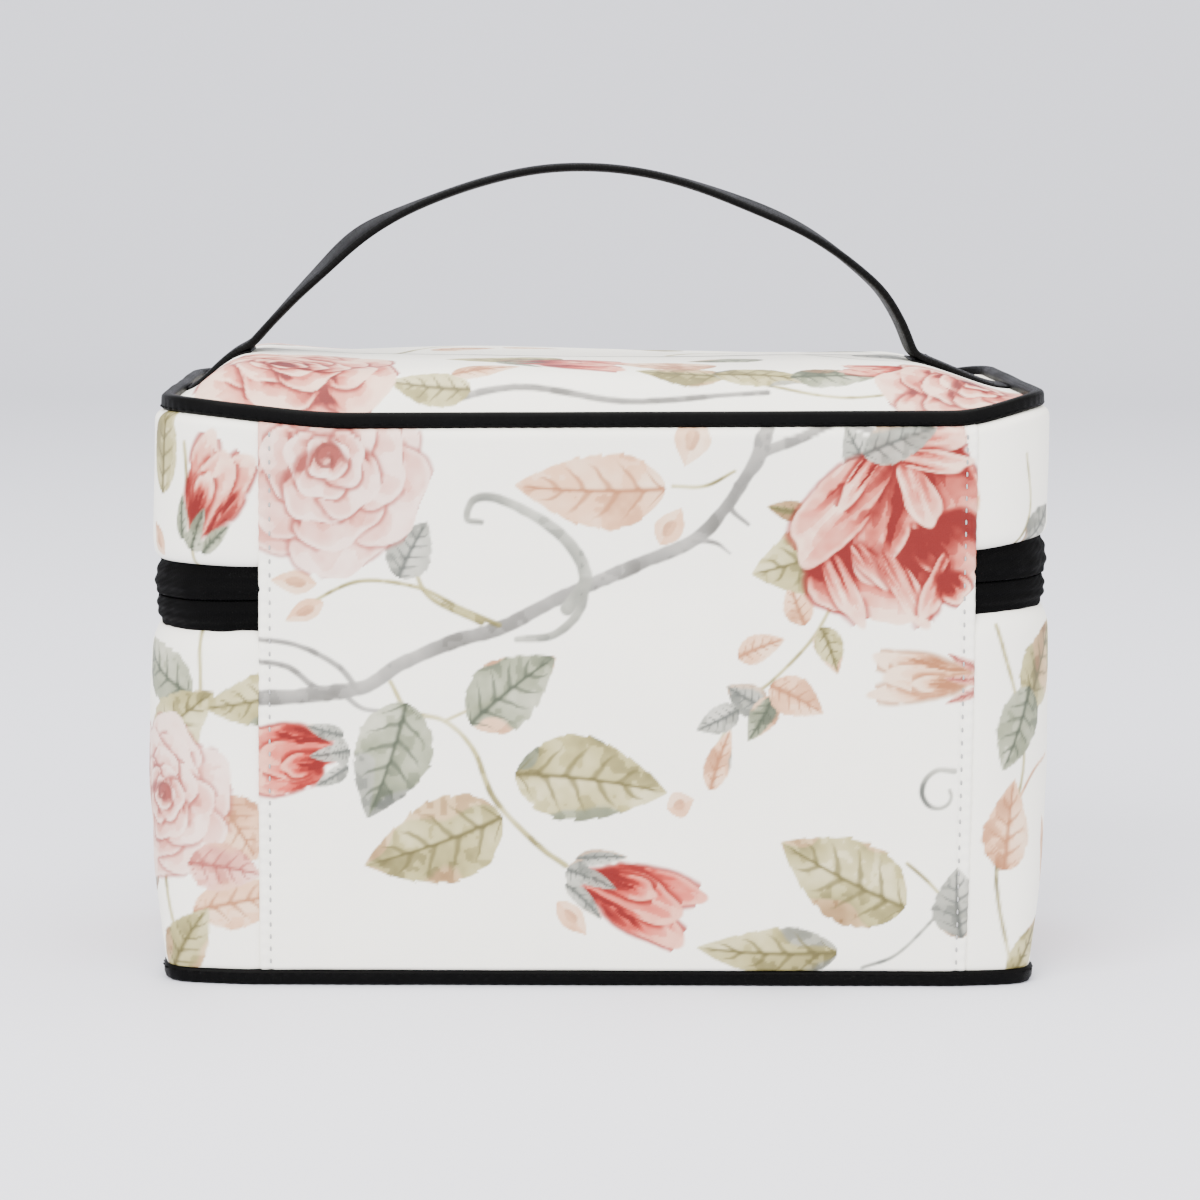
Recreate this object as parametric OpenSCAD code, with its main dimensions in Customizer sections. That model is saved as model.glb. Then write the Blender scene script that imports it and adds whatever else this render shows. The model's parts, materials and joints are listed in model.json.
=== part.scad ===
// Soft-sided vanity case: a clamshell of padded, printed fabric that opens on a zip
// round three sides and folds on its back panel.
// +X runs along the width, +Y points to the front (the zip's middle), +Z up.
// The origin is the centre of the underside.

/* [Case] */
// Width over the walls
body_w = 254; // [230:2:280]
// Depth over the walls
body_d = 150; // [130:2:170]
// Height of the wall, up to the binding of the lid
wall_h = 157.6; // [145:0.1:170]
// Radius of the four upright corners
corner_r = 27; // [22:1:34]
// Height of the zip's centre line
zip_z = 112; // [98:1:116]
// Width of the back panel between its seams
panel_w = 198; // [180:2:204]

/* [Fabric and padding] */
// Thickness of the coated outer fabric
skin_t = 1.2; // [0.8:0.1:1.4]
// Thickness of the foam in the walls and the lid
foam_t = 3.5; // [2:0.1:4]
// Thickness of the lining
lining_t = 0.7; // [0.5:0.1:0.9]
// Thickness of the stiff board in the floor
board_t = 2; // [1:0.2:2.4]
// Height of the binding round the top and bottom edges
binding_h = 4.4; // [3.6:0.2:5]

/* [Lid] */
// How far the middle of the lid stands above the top of the wall
dome_h = 14.5; // [10:0.5:18]

/* [Zip] */
// Height of the black band that shows between the two wall edges
zip_band = 17; // [16:0.5:24]
// How far the tape lies in from the face of the wall
tape_in = 2.3; // [2.3:0.1:2.6]
// Distance of each slider from the middle when the zip is closed
slider_x = 9; // [8:0.5:20]
// Length of the pull tabs
puller_l = 24; // [16:1:30]

/* [Handle] */
// Half of the span between the strap's two feet
strap_reach = 98; // [90:1:100]
// Rise of the strap above its feet
strap_rise = 54.5; // [40:0.5:70]
// Width of the strap
strap_w = 22; // [18:1:25]
// Thickness of the strap
strap_t = 2.4; // [1.8:0.2:3]

/* [Hidden] */
$fn = 64;

// Colours
PRINT = "ivory";
BLACK = [0.08, 0.08, 0.09];
FOAM = "gainsboro";
LINING = "darkslategray";
METAL = "dimgray";

// Gaps between the layers of one wall, and the depth of each layer below the wall's face
gap = 0.1;
hem_h = 4;
hem_t = 1;
foam_in = skin_t + gap;
lining_in = foam_in + foam_t + gap;
inside_in = lining_in + lining_t;
tape_t = 0.8;
seam_in = 6;

// Heights
low_edge = zip_z - zip_band / 2;
high_edge = zip_z + zip_band / 2;
coil_h = 1.55;
coil_gap = 0.55;
hinge_gap = 1.2;
board_z = skin_t + gap;
pad_z = board_z + board_t + gap;
pad_t = 2.9;
floor_z = pad_z + pad_t + gap;

// Lid: the dome rises from the binding over a shoulder to a nearly flat middle
rim_in = 4.1;
shoulder_in = 16;
crown_in = 38;
rim_z = wall_h + 3.7;
shoulder_z = wall_h + dome_h - 3.5;
crown_z = wall_h + dome_h;

// Strap: its feet are rounded about the line that the handle turns on
end_t = 2;
end_in = body_w / 2 - strap_reach + 4;
foot_clear = 0.2;
strap_bend = 2.4;
strap_steps = 40;

// Stitches of the back panel
stitch_pitch = 3.6;
stitch_l = 2.4;
stitch_in = 2;

// Slider and pull tab, about the slider's centre on the wall's face
slider_l = 11;
slider_h = 9.2;
plate_t = 1.2;
face_out = 0.3;
pin_y = 1.35;
pin_r = 0.7;

// Outline of the case, drawn in from the face of the wall; its corners stay a little round
module outline(inset) {
    w = body_w - 2 * inset;
    d = body_d - 2 * inset;
    r = max(2, corner_r - inset);
    square([w - 2 * r, d], center = true);
    square([w, d - 2 * r], center = true);
    for (sx = [-1, 1], sy = [-1, 1])
        translate([sx * (w / 2 - r), sy * (d / 2 - r)])
            circle(r);
}

module slab(inset, z0, z1) {
    translate([0, 0, z0])
        linear_extrude(z1 - z0)
            outline(inset);
}

// Closed band that runs right round the case
module band(outer, inner, z0, z1) {
    difference() {
        slab(outer, z0, z1);
        slab(inner, z0 - 1, z1 + 1);
    }
}

// Space behind the back panel, as far as half_w to each side
module back_cut(half_w) {
    translate([-half_w, -body_d, -1])
        cube([2 * half_w, body_d / 2 + 10, 300]);
}

// Band round the two sides and the front, open at the back
module wrap(outer, inner, z0, z1, half_w = panel_w / 2) {
    difference() {
        band(outer, inner, z0, z1);
        back_cut(half_w);
    }
}

// Flat sheet at the back, between the two seams
module back_sheet(inset, thick, z0, z1) {
    translate([-panel_w / 2 + gap, -body_d / 2 + inset, z0])
        cube([panel_w - 2 * gap, thick, z1 - z0]);
}

// Solid under the dome of the lid, in from its top by drop and from its rim by shrink
module dome(shrink, drop, bottom) {
    hull() {
        slab(rim_in + shrink, bottom, rim_z - drop);
        slab(shoulder_in + shrink, bottom, shoulder_z - drop);
        slab(crown_in + shrink, bottom, crown_z - drop);
    }
}

module dome_shell(from, to, bottom) {
    difference() {
        dome(from, from, bottom);
        dome(to, to, bottom - 1);
    }
}

// ---- base ----

module bottom_panel() {
    color(PRINT) slab(rim_in + gap, 0, skin_t);
}

module base_board() {
    color("white") slab(rim_in + 1, board_z, board_z + board_t);
}

module base_pad() {
    color(FOAM) slab(rim_in + 1, pad_z, pad_z + pad_t);
}

module bottom_binding() {
    color(BLACK) band(0.3, rim_in, 0, binding_h - gap);
}

module base_lining() {
    color(LINING) {
        band(lining_in, inside_in, floor_z, low_edge - 2);
        slab(lining_in, floor_z, floor_z + lining_t);
    }
}

module lower_wall_wrap() {
    color(PRINT) {
        wrap(0, skin_t, binding_h, low_edge);
        wrap(skin_t, skin_t + hem_t, low_edge - hem_h, low_edge);
    }
}

module lower_wall_foam() {
    color(FOAM) wrap(foam_in, foam_in + foam_t, binding_h + 0.6, low_edge - seam_in - 1);
}

module lower_back_panel() {
    color(PRINT) back_sheet(0, skin_t, binding_h, zip_z - hinge_gap);
}

module lower_back_foam() {
    color(FOAM) back_sheet(foam_in, foam_t, binding_h + 0.6, low_edge - seam_in - 1);
}

// Two rows of top stitching, one along each seam of the back panel
module stitch_rows(z0, z1) {
    n = floor((z1 - z0) / stitch_pitch);
    for (side = [-1, 1], i = [0 : n - 1])
        translate([side * (panel_w / 2 - stitch_in), -body_d / 2 - 0.26, z0 + (i + 0.5) * stitch_pitch])
            cube([0.6, 0.5, stitch_l], center = true);
}

module lower_back_stitches() {
    color("silver") stitch_rows(binding_h, zip_z - hinge_gap);
}

module lower_zip_tape() {
    color(BLACK)
        wrap(tape_in, tape_in + tape_t, low_edge - seam_in, zip_z - coil_gap - coil_h - gap, panel_w / 2 - 8);
}

module lower_zip_coil() {
    color(BLACK)
        wrap(tape_in - 0.8, tape_in + 1, zip_z - coil_gap - coil_h, zip_z - coil_gap, panel_w / 2 - 8);
}

// ---- lid ----

module top_panel() {
    color(PRINT) dome_shell(0, skin_t, wall_h + 2.2);
}

module top_foam() {
    color(FOAM) dome_shell(foam_in, foam_in + foam_t, wall_h - 1.1);
}

module top_binding() {
    color(BLACK) band(1, rim_in - gap, wall_h, wall_h + binding_h + 0.2);
}

module lid_lining() {
    top = wall_h - 2;
    color(LINING) {
        band(lining_in, inside_in, high_edge + 2, top + lining_t);
        band(lining_in, rim_in + inside_in, top, top + lining_t);
        dome_shell(lining_in, inside_in, top);
    }
}

module upper_wall_wrap() {
    color(PRINT) {
        wrap(0, skin_t, high_edge, wall_h - gap);
        wrap(skin_t, skin_t + hem_t, high_edge, high_edge + hem_h);
    }
}

module upper_wall_foam() {
    color(FOAM) wrap(foam_in, foam_in + foam_t, high_edge + seam_in + 1, wall_h - 1.3);
}

module upper_back_panel() {
    color(PRINT) back_sheet(0, skin_t, zip_z + hinge_gap, wall_h - gap);
}

module upper_back_foam() {
    color(FOAM) back_sheet(foam_in, foam_t, high_edge + seam_in + 1, wall_h - 1.3);
}

module upper_back_stitches() {
    color("silver") stitch_rows(zip_z + hinge_gap, wall_h - gap);
}

module upper_zip_tape() {
    color(BLACK)
        wrap(tape_in, tape_in + tape_t, zip_z + coil_gap + coil_h + gap, high_edge + seam_in, panel_w / 2 - 8);
}

module upper_zip_coil() {
    color(BLACK)
        wrap(tape_in - 0.8, tape_in + 1, zip_z + coil_gap, zip_z + coil_gap + coil_h, panel_w / 2 - 8);
}

// ---- handle ----

// Height of the lid's surface on its centre line, at a distance in from the wall's face
function dome_z(inset) =
    inset < shoulder_in
    ? rim_z + (shoulder_z - rim_z) * (inset - rim_in) / (shoulder_in - rim_in)
    : shoulder_z + (crown_z - shoulder_z) * min(1, (inset - shoulder_in) / (crown_in - shoulder_in));

// One end of the strap, sewn flat on the lid from the binding to just past the foot
module handle_end(side) {
    stops = [rim_in + 0.4, shoulder_in, end_in];
    under = [for (s = stops) [side * (body_w / 2 - s), dome_z(s) + gap]];
    over = [for (i = [2 : -1 : 0]) under[i] + [0, end_t]];
    color(BLACK)
        rotate([90, 0, 0])
            linear_extrude(strap_w, center = true)
                polygon(concat(under, over));
}

module handle_end_left() {
    handle_end(-1);
}

module handle_end_right() {
    handle_end(1);
}

// The feet clear the highest edge of the two ends when the strap is laid over
foot_z = dome_z(end_in) + gap + end_t + foot_clear;
turn_z = foot_z + strap_w / 2;
function arch_z(x) = foot_z + strap_rise * (1 - pow(abs(x) / strap_reach, strap_bend));
function arch_slope(x) =
    -sign(x) * strap_rise * strap_bend * pow(abs(x) / strap_reach, strap_bend - 1) / strap_reach;
function arch_point(x, off) =
    let (m = arch_slope(x), n = sqrt(1 + m * m))
    [x - off * m / n, arch_z(x) + off / n];
arch_xs = [for (i = [0 : strap_steps]) strap_reach * sin(-90 + 180 * i / strap_steps)];

// Arched strap, with its two feet rounded about the turning line
module handle_strap() {
    outer = [for (x = arch_xs) arch_point(x, strap_t / 2)];
    inner = [for (i = [strap_steps : -1 : 0]) arch_point(arch_xs[i], -strap_t / 2)];
    color(BLACK)
        intersection() {
            rotate([90, 0, 0])
                linear_extrude(strap_w, center = true)
                    polygon(concat(outer, inner));
            union() {
                translate([0, 0, turn_z])
                    rotate([0, 90, 0])
                        cylinder(h = 2 * strap_reach + 20, r = strap_w / 2, center = true);
                translate([-strap_reach - 10, -strap_w, turn_z])
                    cube([2 * strap_reach + 20, 2 * strap_w, strap_rise]);
            }
        }
}

// ---- zip sliders ----

// Puts a part at a slider: its own +X points to the zip's end, its +Y out of the case
module at_slider(side) {
    translate([side * slider_x, body_d / 2, zip_z])
            mirror([side < 0 ? 1 : 0, 0, 0])
                children();
}

module slider(side) {
    inner_y = -tape_in - 1.4;
    color(METAL)
        at_slider(side) {
            translate([-slider_l / 2, face_out - plate_t, -slider_h / 2])
                cube([slider_l, plate_t, slider_h]);
            translate([-slider_l / 2, inner_y - plate_t + 0.2, -slider_h / 2])
                cube([slider_l, plate_t - 0.2, slider_h]);
            translate([-slider_l / 2 + 0.4, inner_y - 0.1, -0.35])
                cube([2, face_out - inner_y, 0.7]);
            for (x = [-4.2, 3])
                translate([x, 0, -1])
                    cube([1.2, 3.4, 2]);
            translate([-4.2, 2.5, -1])
                cube([8.4, 1, 2]);
        }
}

module puller(side) {
    color(METAL)
        at_slider(side)
            translate([0, pin_y, 0]) {
                cylinder(h = 6, r = pin_r, center = true);
                for (z = [-3, 1.8])
                    translate([0, -0.6, z])
                        cube([5.8, 1.2, 1.2]);
                rotate([90, 0, 0])
                    linear_extrude(1.2, center = true)
                        difference() {
                            union() {
                                translate([4.9, -3])
                                    square([puller_l - 7.9, 6]);
                                translate([puller_l - 3, 0])
                                    circle(3);
                            }
                            translate([puller_l - 3, 0])
                                circle(1.5);
                        }
            }
}

module zip_slider_left() {
    slider(-1);
}

module zip_slider_right() {
    slider(1);
}

module zip_puller_left() {
    puller(-1);
}

module zip_puller_right() {
    puller(1);
}

base_board();
base_pad();
bottom_panel();
bottom_binding();
base_lining();
lower_wall_wrap();
lower_wall_foam();
lower_back_panel();
lower_back_foam();
lower_back_stitches();
lower_zip_tape();
lower_zip_coil();
top_panel();
top_foam();
top_binding();
lid_lining();
upper_wall_wrap();
upper_wall_foam();
upper_back_panel();
upper_back_foam();
upper_back_stitches();
upper_zip_tape();
upper_zip_coil();
handle_end_left();
handle_end_right();
handle_strap();
zip_slider_left();
zip_puller_left();
zip_slider_right();
zip_puller_right();
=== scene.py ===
"""The looks of a padded vanity case with a rose print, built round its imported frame.

Lengths are in millimetres and go to metres where a mesh is made. A place on the walls is
given by s, the way round the case from the middle of the back, by the height z, and by n,
how far out of the wall it lies.
"""

import json
import logging
import math
from collections.abc import Callable
from dataclasses import dataclass
from enum import Enum

import bpy
import numpy as np
from mathutils import Euler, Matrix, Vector

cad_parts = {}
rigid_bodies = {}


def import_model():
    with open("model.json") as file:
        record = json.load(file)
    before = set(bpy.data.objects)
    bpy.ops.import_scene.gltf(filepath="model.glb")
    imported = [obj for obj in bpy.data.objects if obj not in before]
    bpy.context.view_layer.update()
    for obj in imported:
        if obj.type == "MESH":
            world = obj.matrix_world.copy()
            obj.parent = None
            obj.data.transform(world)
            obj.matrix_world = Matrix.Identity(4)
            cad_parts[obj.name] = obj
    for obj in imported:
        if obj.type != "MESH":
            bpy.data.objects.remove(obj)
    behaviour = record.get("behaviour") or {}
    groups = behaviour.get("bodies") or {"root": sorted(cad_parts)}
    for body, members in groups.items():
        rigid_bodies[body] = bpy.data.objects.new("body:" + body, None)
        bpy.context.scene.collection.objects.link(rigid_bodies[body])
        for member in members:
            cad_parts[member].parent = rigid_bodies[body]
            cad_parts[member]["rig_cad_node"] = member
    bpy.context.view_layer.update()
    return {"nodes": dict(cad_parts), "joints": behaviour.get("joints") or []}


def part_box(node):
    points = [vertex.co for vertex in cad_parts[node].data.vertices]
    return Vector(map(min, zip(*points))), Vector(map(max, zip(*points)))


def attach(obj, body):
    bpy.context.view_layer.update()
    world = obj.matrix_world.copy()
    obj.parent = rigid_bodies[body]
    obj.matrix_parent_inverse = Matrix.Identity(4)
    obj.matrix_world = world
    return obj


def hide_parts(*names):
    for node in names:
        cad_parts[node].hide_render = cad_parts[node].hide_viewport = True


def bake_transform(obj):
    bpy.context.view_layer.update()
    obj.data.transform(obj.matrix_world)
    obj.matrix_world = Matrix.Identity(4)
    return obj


LOG = logging.getLogger("vanity_case")
MM = 0.001


# ---------------------------------------------------------------- helpers


def smooth(low: float, high: float, x: np.ndarray) -> np.ndarray:
    """A step that eases from 0 at low to 1 at high.

    Args:
        low: Where the step begins.
        high: Where the step ends.
        x: The values to place on the step.

    Returns:
        The eased values, from 0 to 1.
    """
    t = np.clip((np.asarray(x, float) - low) / (high - low), 0, 1)
    return t * t * (3 - 2 * t)


def soft_noise(u: np.ndarray, v: np.ndarray, cell: float, seed: int) -> np.ndarray:
    """Smooth value noise on a plane.

    Args:
        u: First coordinate.
        v: Second coordinate.
        cell: The size of one lump, in the coordinates' unit.
        seed: Which noise.

    Returns:
        Values from -1 to 1.
    """
    side = 64
    lattice = np.random.default_rng(seed).uniform(-1, 1, (side, side))
    a, b = np.asarray(u) / cell + 7.3, np.asarray(v) / cell + 3.1
    i, j = np.floor(a).astype(int), np.floor(b).astype(int)
    f, g = a - i, b - j
    f, g = f * f * (3 - 2 * f), g * g * (3 - 2 * g)
    i0, i1, j0, j1 = i % side, (i + 1) % side, j % side, (j + 1) % side
    top = lattice[i0, j0] * (1 - f) + lattice[i1, j0] * f
    low = lattice[i0, j1] * (1 - f) + lattice[i1, j1] * f
    return top * (1 - g) + low * g


def to_linear(rgb: np.ndarray) -> np.ndarray:
    """Turns screen colours, 0 to 1, into linear ones."""
    rgb = np.clip(np.asarray(rgb, float), 0, 1)
    return np.where(rgb <= 0.04045, rgb / 12.92, ((rgb + 0.055) / 1.055) ** 2.4)


def grid_faces(rows: int, cols: int, ring: bool = False, tube: bool = False) -> np.ndarray:
    """The quads of a grid of points.

    Args:
        rows: Number of rows.
        cols: Number of columns.
        ring: Whether the last column joins the first.
        tube: Whether the last row joins the first.

    Returns:
        An array of four point numbers a face.
    """
    i = np.arange(rows if tube else rows - 1)[:, None]
    j = np.arange(cols if ring else cols - 1)[None, :]
    i1, j1 = (i + 1) % rows, (j + 1) % cols
    quads = [i * cols + j, i * cols + j1, i1 * cols + j1, i1 * cols + j]
    return np.stack([q.ravel() for q in quads], axis=1)


def make_mesh(name: str, points: np.ndarray, faces: list, flat: np.ndarray | None = None,
              print_rgb: np.ndarray | None = None) -> bpy.types.Object:
    """Makes a smooth-shaded object from points in millimetres.

    Args:
        name: The piece's name.
        points: Its points, one a row.
        faces: Its faces, as arrays of point numbers.
        flat: Each point's place on the flat cloth, in millimetres.
        print_rgb: Each point's printed colour, in linear values.

    Returns:
        The new object, linked to the scene.
    """
    mesh = bpy.data.meshes.new(name)
    count = len(points)
    mesh.vertices.add(count)
    mesh.vertices.foreach_set("co", (np.asarray(points, float) * MM).astype(np.float32).ravel())
    sizes = np.concatenate([np.full(len(f), f.shape[1], np.int32) for f in faces])
    corners = np.concatenate([f.ravel() for f in faces]).astype(np.int32)
    mesh.loops.add(len(corners))
    mesh.polygons.add(len(sizes))
    mesh.loops.foreach_set("vertex_index", corners)
    starts = np.concatenate([[0], np.cumsum(sizes)[:-1]]).astype(np.int32)
    mesh.polygons.foreach_set("loop_start", starts)
    mesh.update(calc_edges=True)
    mesh.polygons.foreach_set("use_smooth", np.ones(len(sizes), bool))
    place = np.zeros((count, 3), np.float32)
    place[:] = np.asarray(points, float) * MM if flat is None else np.asarray(flat, float) * MM
    mesh.attributes.new("Flat", "FLOAT_VECTOR", "POINT").data.foreach_set("vector", place.ravel())
    if print_rgb is not None:
        paint = np.ones((count, 4), np.float32)
        paint[:, :3] = print_rgb
        layer = mesh.color_attributes.new("Print", "FLOAT_COLOR", "POINT")
        layer.data.foreach_set("color", paint.ravel())
    mesh.validate()
    piece = bpy.data.objects.new(name, mesh)
    bpy.context.scene.collection.objects.link(piece)
    return piece


def flat_of(u: np.ndarray, v: np.ndarray) -> np.ndarray:
    """Cloth coordinates as points, with the third one zero."""
    return np.stack([u.ravel(), v.ravel(), np.zeros(u.size)], axis=1)


def unit(rows: np.ndarray) -> np.ndarray:
    """The same directions, each of length 1."""
    return rows / np.linalg.norm(rows, axis=1, keepdims=True)


def node_box(name: str) -> tuple[Vector, Vector]:
    """The low and the high corner of one of the frame's nodes, in millimetres."""
    low, high = (Vector(corner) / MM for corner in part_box(name))
    return low, high


def toward(at: tuple[float, float], reach: float, angle: float, flat: float = 1.0) -> tuple[float, float]:
    """The place at a distance from another in a direction in degrees, with its rise flattened."""
    a = math.radians(angle)
    return at[0] + reach * math.cos(a), at[1] + reach * math.sin(a) * flat


# ---------------------------------------------------------------- finishes


class Group(Enum):
    """The shader node groups that the finishes share."""

    WEAVE = "Weave"
    GRAIN = "Grain"
    SMUDGE = "Smudge"


class NodeKit:
    """Short ways to add nodes to one node tree and to link them."""

    def __init__(self, tree: bpy.types.NodeTree) -> None:
        """Keeps the tree and empties it."""
        self.tree = tree
        tree.nodes.clear()

    def add(self, kind: str, **values: object) -> bpy.types.Node:
        """Adds a node and sets its properties."""
        node = self.tree.nodes.new(kind)
        for key, value in values.items():
            setattr(node, key, value)
        return node

    def link(self, source: bpy.types.NodeSocket, target: bpy.types.NodeSocket) -> None:
        """Links an output to an input."""
        self.tree.links.new(source, target)

    def feed(self, socket: bpy.types.NodeSocket, value: object) -> None:
        """Links a socket to the input, or sets the input to a constant."""
        if isinstance(value, bpy.types.NodeSocket):
            self.link(value, socket)
        else:
            socket.default_value = value

    def math(self, operation: str, *values: object) -> bpy.types.NodeSocket:
        """A Math node of the given operation, fed with sockets or numbers."""
        node = self.add("ShaderNodeMath", operation=operation)
        for socket, value in zip(node.inputs, values):
            self.feed(socket, value)
        return node.outputs[0]

    def mix(self, factor: object, a: object, b: object, blend: str = "MIX") -> bpy.types.NodeSocket:
        """Mixes two colours.

        Args:
            factor: How much of the second colour.
            a: The first colour.
            b: The second colour.
            blend: The way that they mix.

        Returns:
            The mixed colour's socket.
        """
        node = self.add("ShaderNodeMix", data_type="RGBA", blend_type=blend)
        self.feed(node.inputs[0], factor)
        self.feed(node.inputs[6], a)
        self.feed(node.inputs[7], b)
        return node.outputs[2]

    def ramp(self, value: object, low: float, high: float, to_low: float,
             to_high: float) -> bpy.types.NodeSocket:
        """Maps a value from one range to another, and holds it there."""
        node = self.add("ShaderNodeMapRange")
        for socket, item in zip(node.inputs, (value, low, high, to_low, to_high)):
            self.feed(socket, item)
        return node.outputs[0]

    def bump(self, strength: float, distance: float, height: bpy.types.NodeSocket,
             under: bpy.types.NodeSocket | None = None) -> bpy.types.NodeSocket:
        """A relief, laid over an earlier one where there is one.

        Args:
            strength: How much of the relief is used.
            distance: Its height in metres.
            height: The socket with its pattern.
            under: The normal of the earlier relief.

        Returns:
            The normal's socket.
        """
        node = self.add("ShaderNodeBump")
        node.inputs["Strength"].default_value = strength
        node.inputs["Distance"].default_value = distance
        self.link(height, node.inputs["Height"])
        if under:
            self.link(under, node.inputs["Normal"])
        return node.outputs["Normal"]


def new_group(kind: Group, inputs: dict[str, float], outputs: list[str]) -> tuple:
    """Starts a shader node group that takes a place on the cloth and some numbers.

    Args:
        kind: Which group.
        inputs: Each number's name with its first value.
        outputs: The names of the float outputs.

    Returns:
        The node kit, the group input node and the group output node.
    """
    tree = bpy.data.node_groups.new(kind.value, "ShaderNodeTree")
    tree.interface.new_socket(name="Vector", in_out="INPUT", socket_type="NodeSocketVector")
    for name, value in inputs.items():
        made = tree.interface.new_socket(name=name, in_out="INPUT", socket_type="NodeSocketFloat")
        made.default_value = value
    for name in outputs:
        tree.interface.new_socket(name=name, in_out="OUTPUT", socket_type="NodeSocketFloat")
    kit = NodeKit(tree)
    return kit, kit.add("NodeGroupInput"), kit.add("NodeGroupOutput")


def build_weave() -> None:
    """Plain weave of round yarns, from the place on the flat cloth; its Shade is low where the yarns dip, for
    painted shade between them.
    """
    kit, inside, out = new_group(Group.WEAVE, {"Yarns": 2000.0, "Skew": 0.0}, ["Height", "Shade"])
    split = kit.add("ShaderNodeSeparateXYZ")
    kit.link(inside.outputs["Vector"], split.inputs[0])
    yarns = inside.outputs["Yarns"]
    skewed = kit.math("MULTIPLY_ADD", split.outputs["X"], inside.outputs["Skew"], split.outputs["Y"])
    across = kit.math("MULTIPLY", split.outputs["X"], yarns)
    along = kit.math("MULTIPLY", skewed, yarns)
    wave_a = kit.math("SINE", kit.math("MULTIPLY", across, math.pi))
    wave_b = kit.math("SINE", kit.math("MULTIPLY", along, math.pi))
    over = kit.math("MULTIPLY", wave_a, wave_b)
    warp = kit.math("ABSOLUTE", wave_a)
    weft = kit.math("ABSOLUTE", wave_b)
    top = kit.math("MULTIPLY", warp, kit.ramp(over, -0.2, 0.2, 0.0, 1.0))
    low = kit.math("MULTIPLY", weft, kit.ramp(over, -0.2, 0.2, 1.0, 0.0))
    height = kit.math("MAXIMUM", top, low)
    kit.link(height, out.inputs["Height"])
    kit.link(kit.ramp(height, 0.0, 0.8, 0.0, 1.0), out.inputs["Shade"])


def build_grain() -> None:
    """Fine and coarse grain of a coated or foamed surface."""
    kit, inside, out = new_group(Group.GRAIN, {"Fine": 2500.0, "Coarse": 60.0}, ["Height", "Cloud"])
    fine = kit.add("ShaderNodeTexNoise")
    coarse = kit.add("ShaderNodeTexNoise")
    for node, name, detail in ((fine, "Fine", 3.0), (coarse, "Coarse", 5.0)):
        kit.link(inside.outputs["Vector"], node.inputs["Vector"])
        kit.link(inside.outputs[name], node.inputs["Scale"])
        node.inputs["Detail"].default_value = detail
    kit.link(fine.outputs["Fac"], out.inputs["Height"])
    kit.link(kit.ramp(coarse.outputs["Fac"], 0.3, 0.7, 0.0, 1.0), out.inputs["Cloud"])


def build_smudge() -> None:
    """Faint marks of handling, and dust in patches."""
    kit, inside, out = new_group(Group.SMUDGE, {"Size": 25.0, "Spread": 0.1}, ["Mask"])
    noise = kit.add("ShaderNodeTexNoise")
    kit.link(inside.outputs["Vector"], noise.inputs["Vector"])
    kit.link(inside.outputs["Size"], noise.inputs["Scale"])
    noise.inputs["Detail"].default_value = 6.0
    noise.inputs["Roughness"].default_value = 0.65
    edge = kit.math("SUBTRACT", 0.66, inside.outputs["Spread"])
    marks = kit.math("MAXIMUM", kit.math("SUBTRACT", noise.outputs["Fac"], edge), 0.0)
    kit.link(kit.math("SMOOTH_MIN", marks, 0.25, 0.05), out.inputs["Mask"])


PRINT_STEP = 0.6
# Darker colours that a finish's tone mixes towards, in random clouds and as painted shade between the yarns.
PRINT_SHADE = (0.86, 0.86, 0.85, 1.0)
PLAIN_SHADE = (0.45, 0.45, 0.47, 1.0)
DUST_GREY = (0.36, 0.35, 0.34, 1.0)
GRAIN_RELIEF = 0.0004


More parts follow.
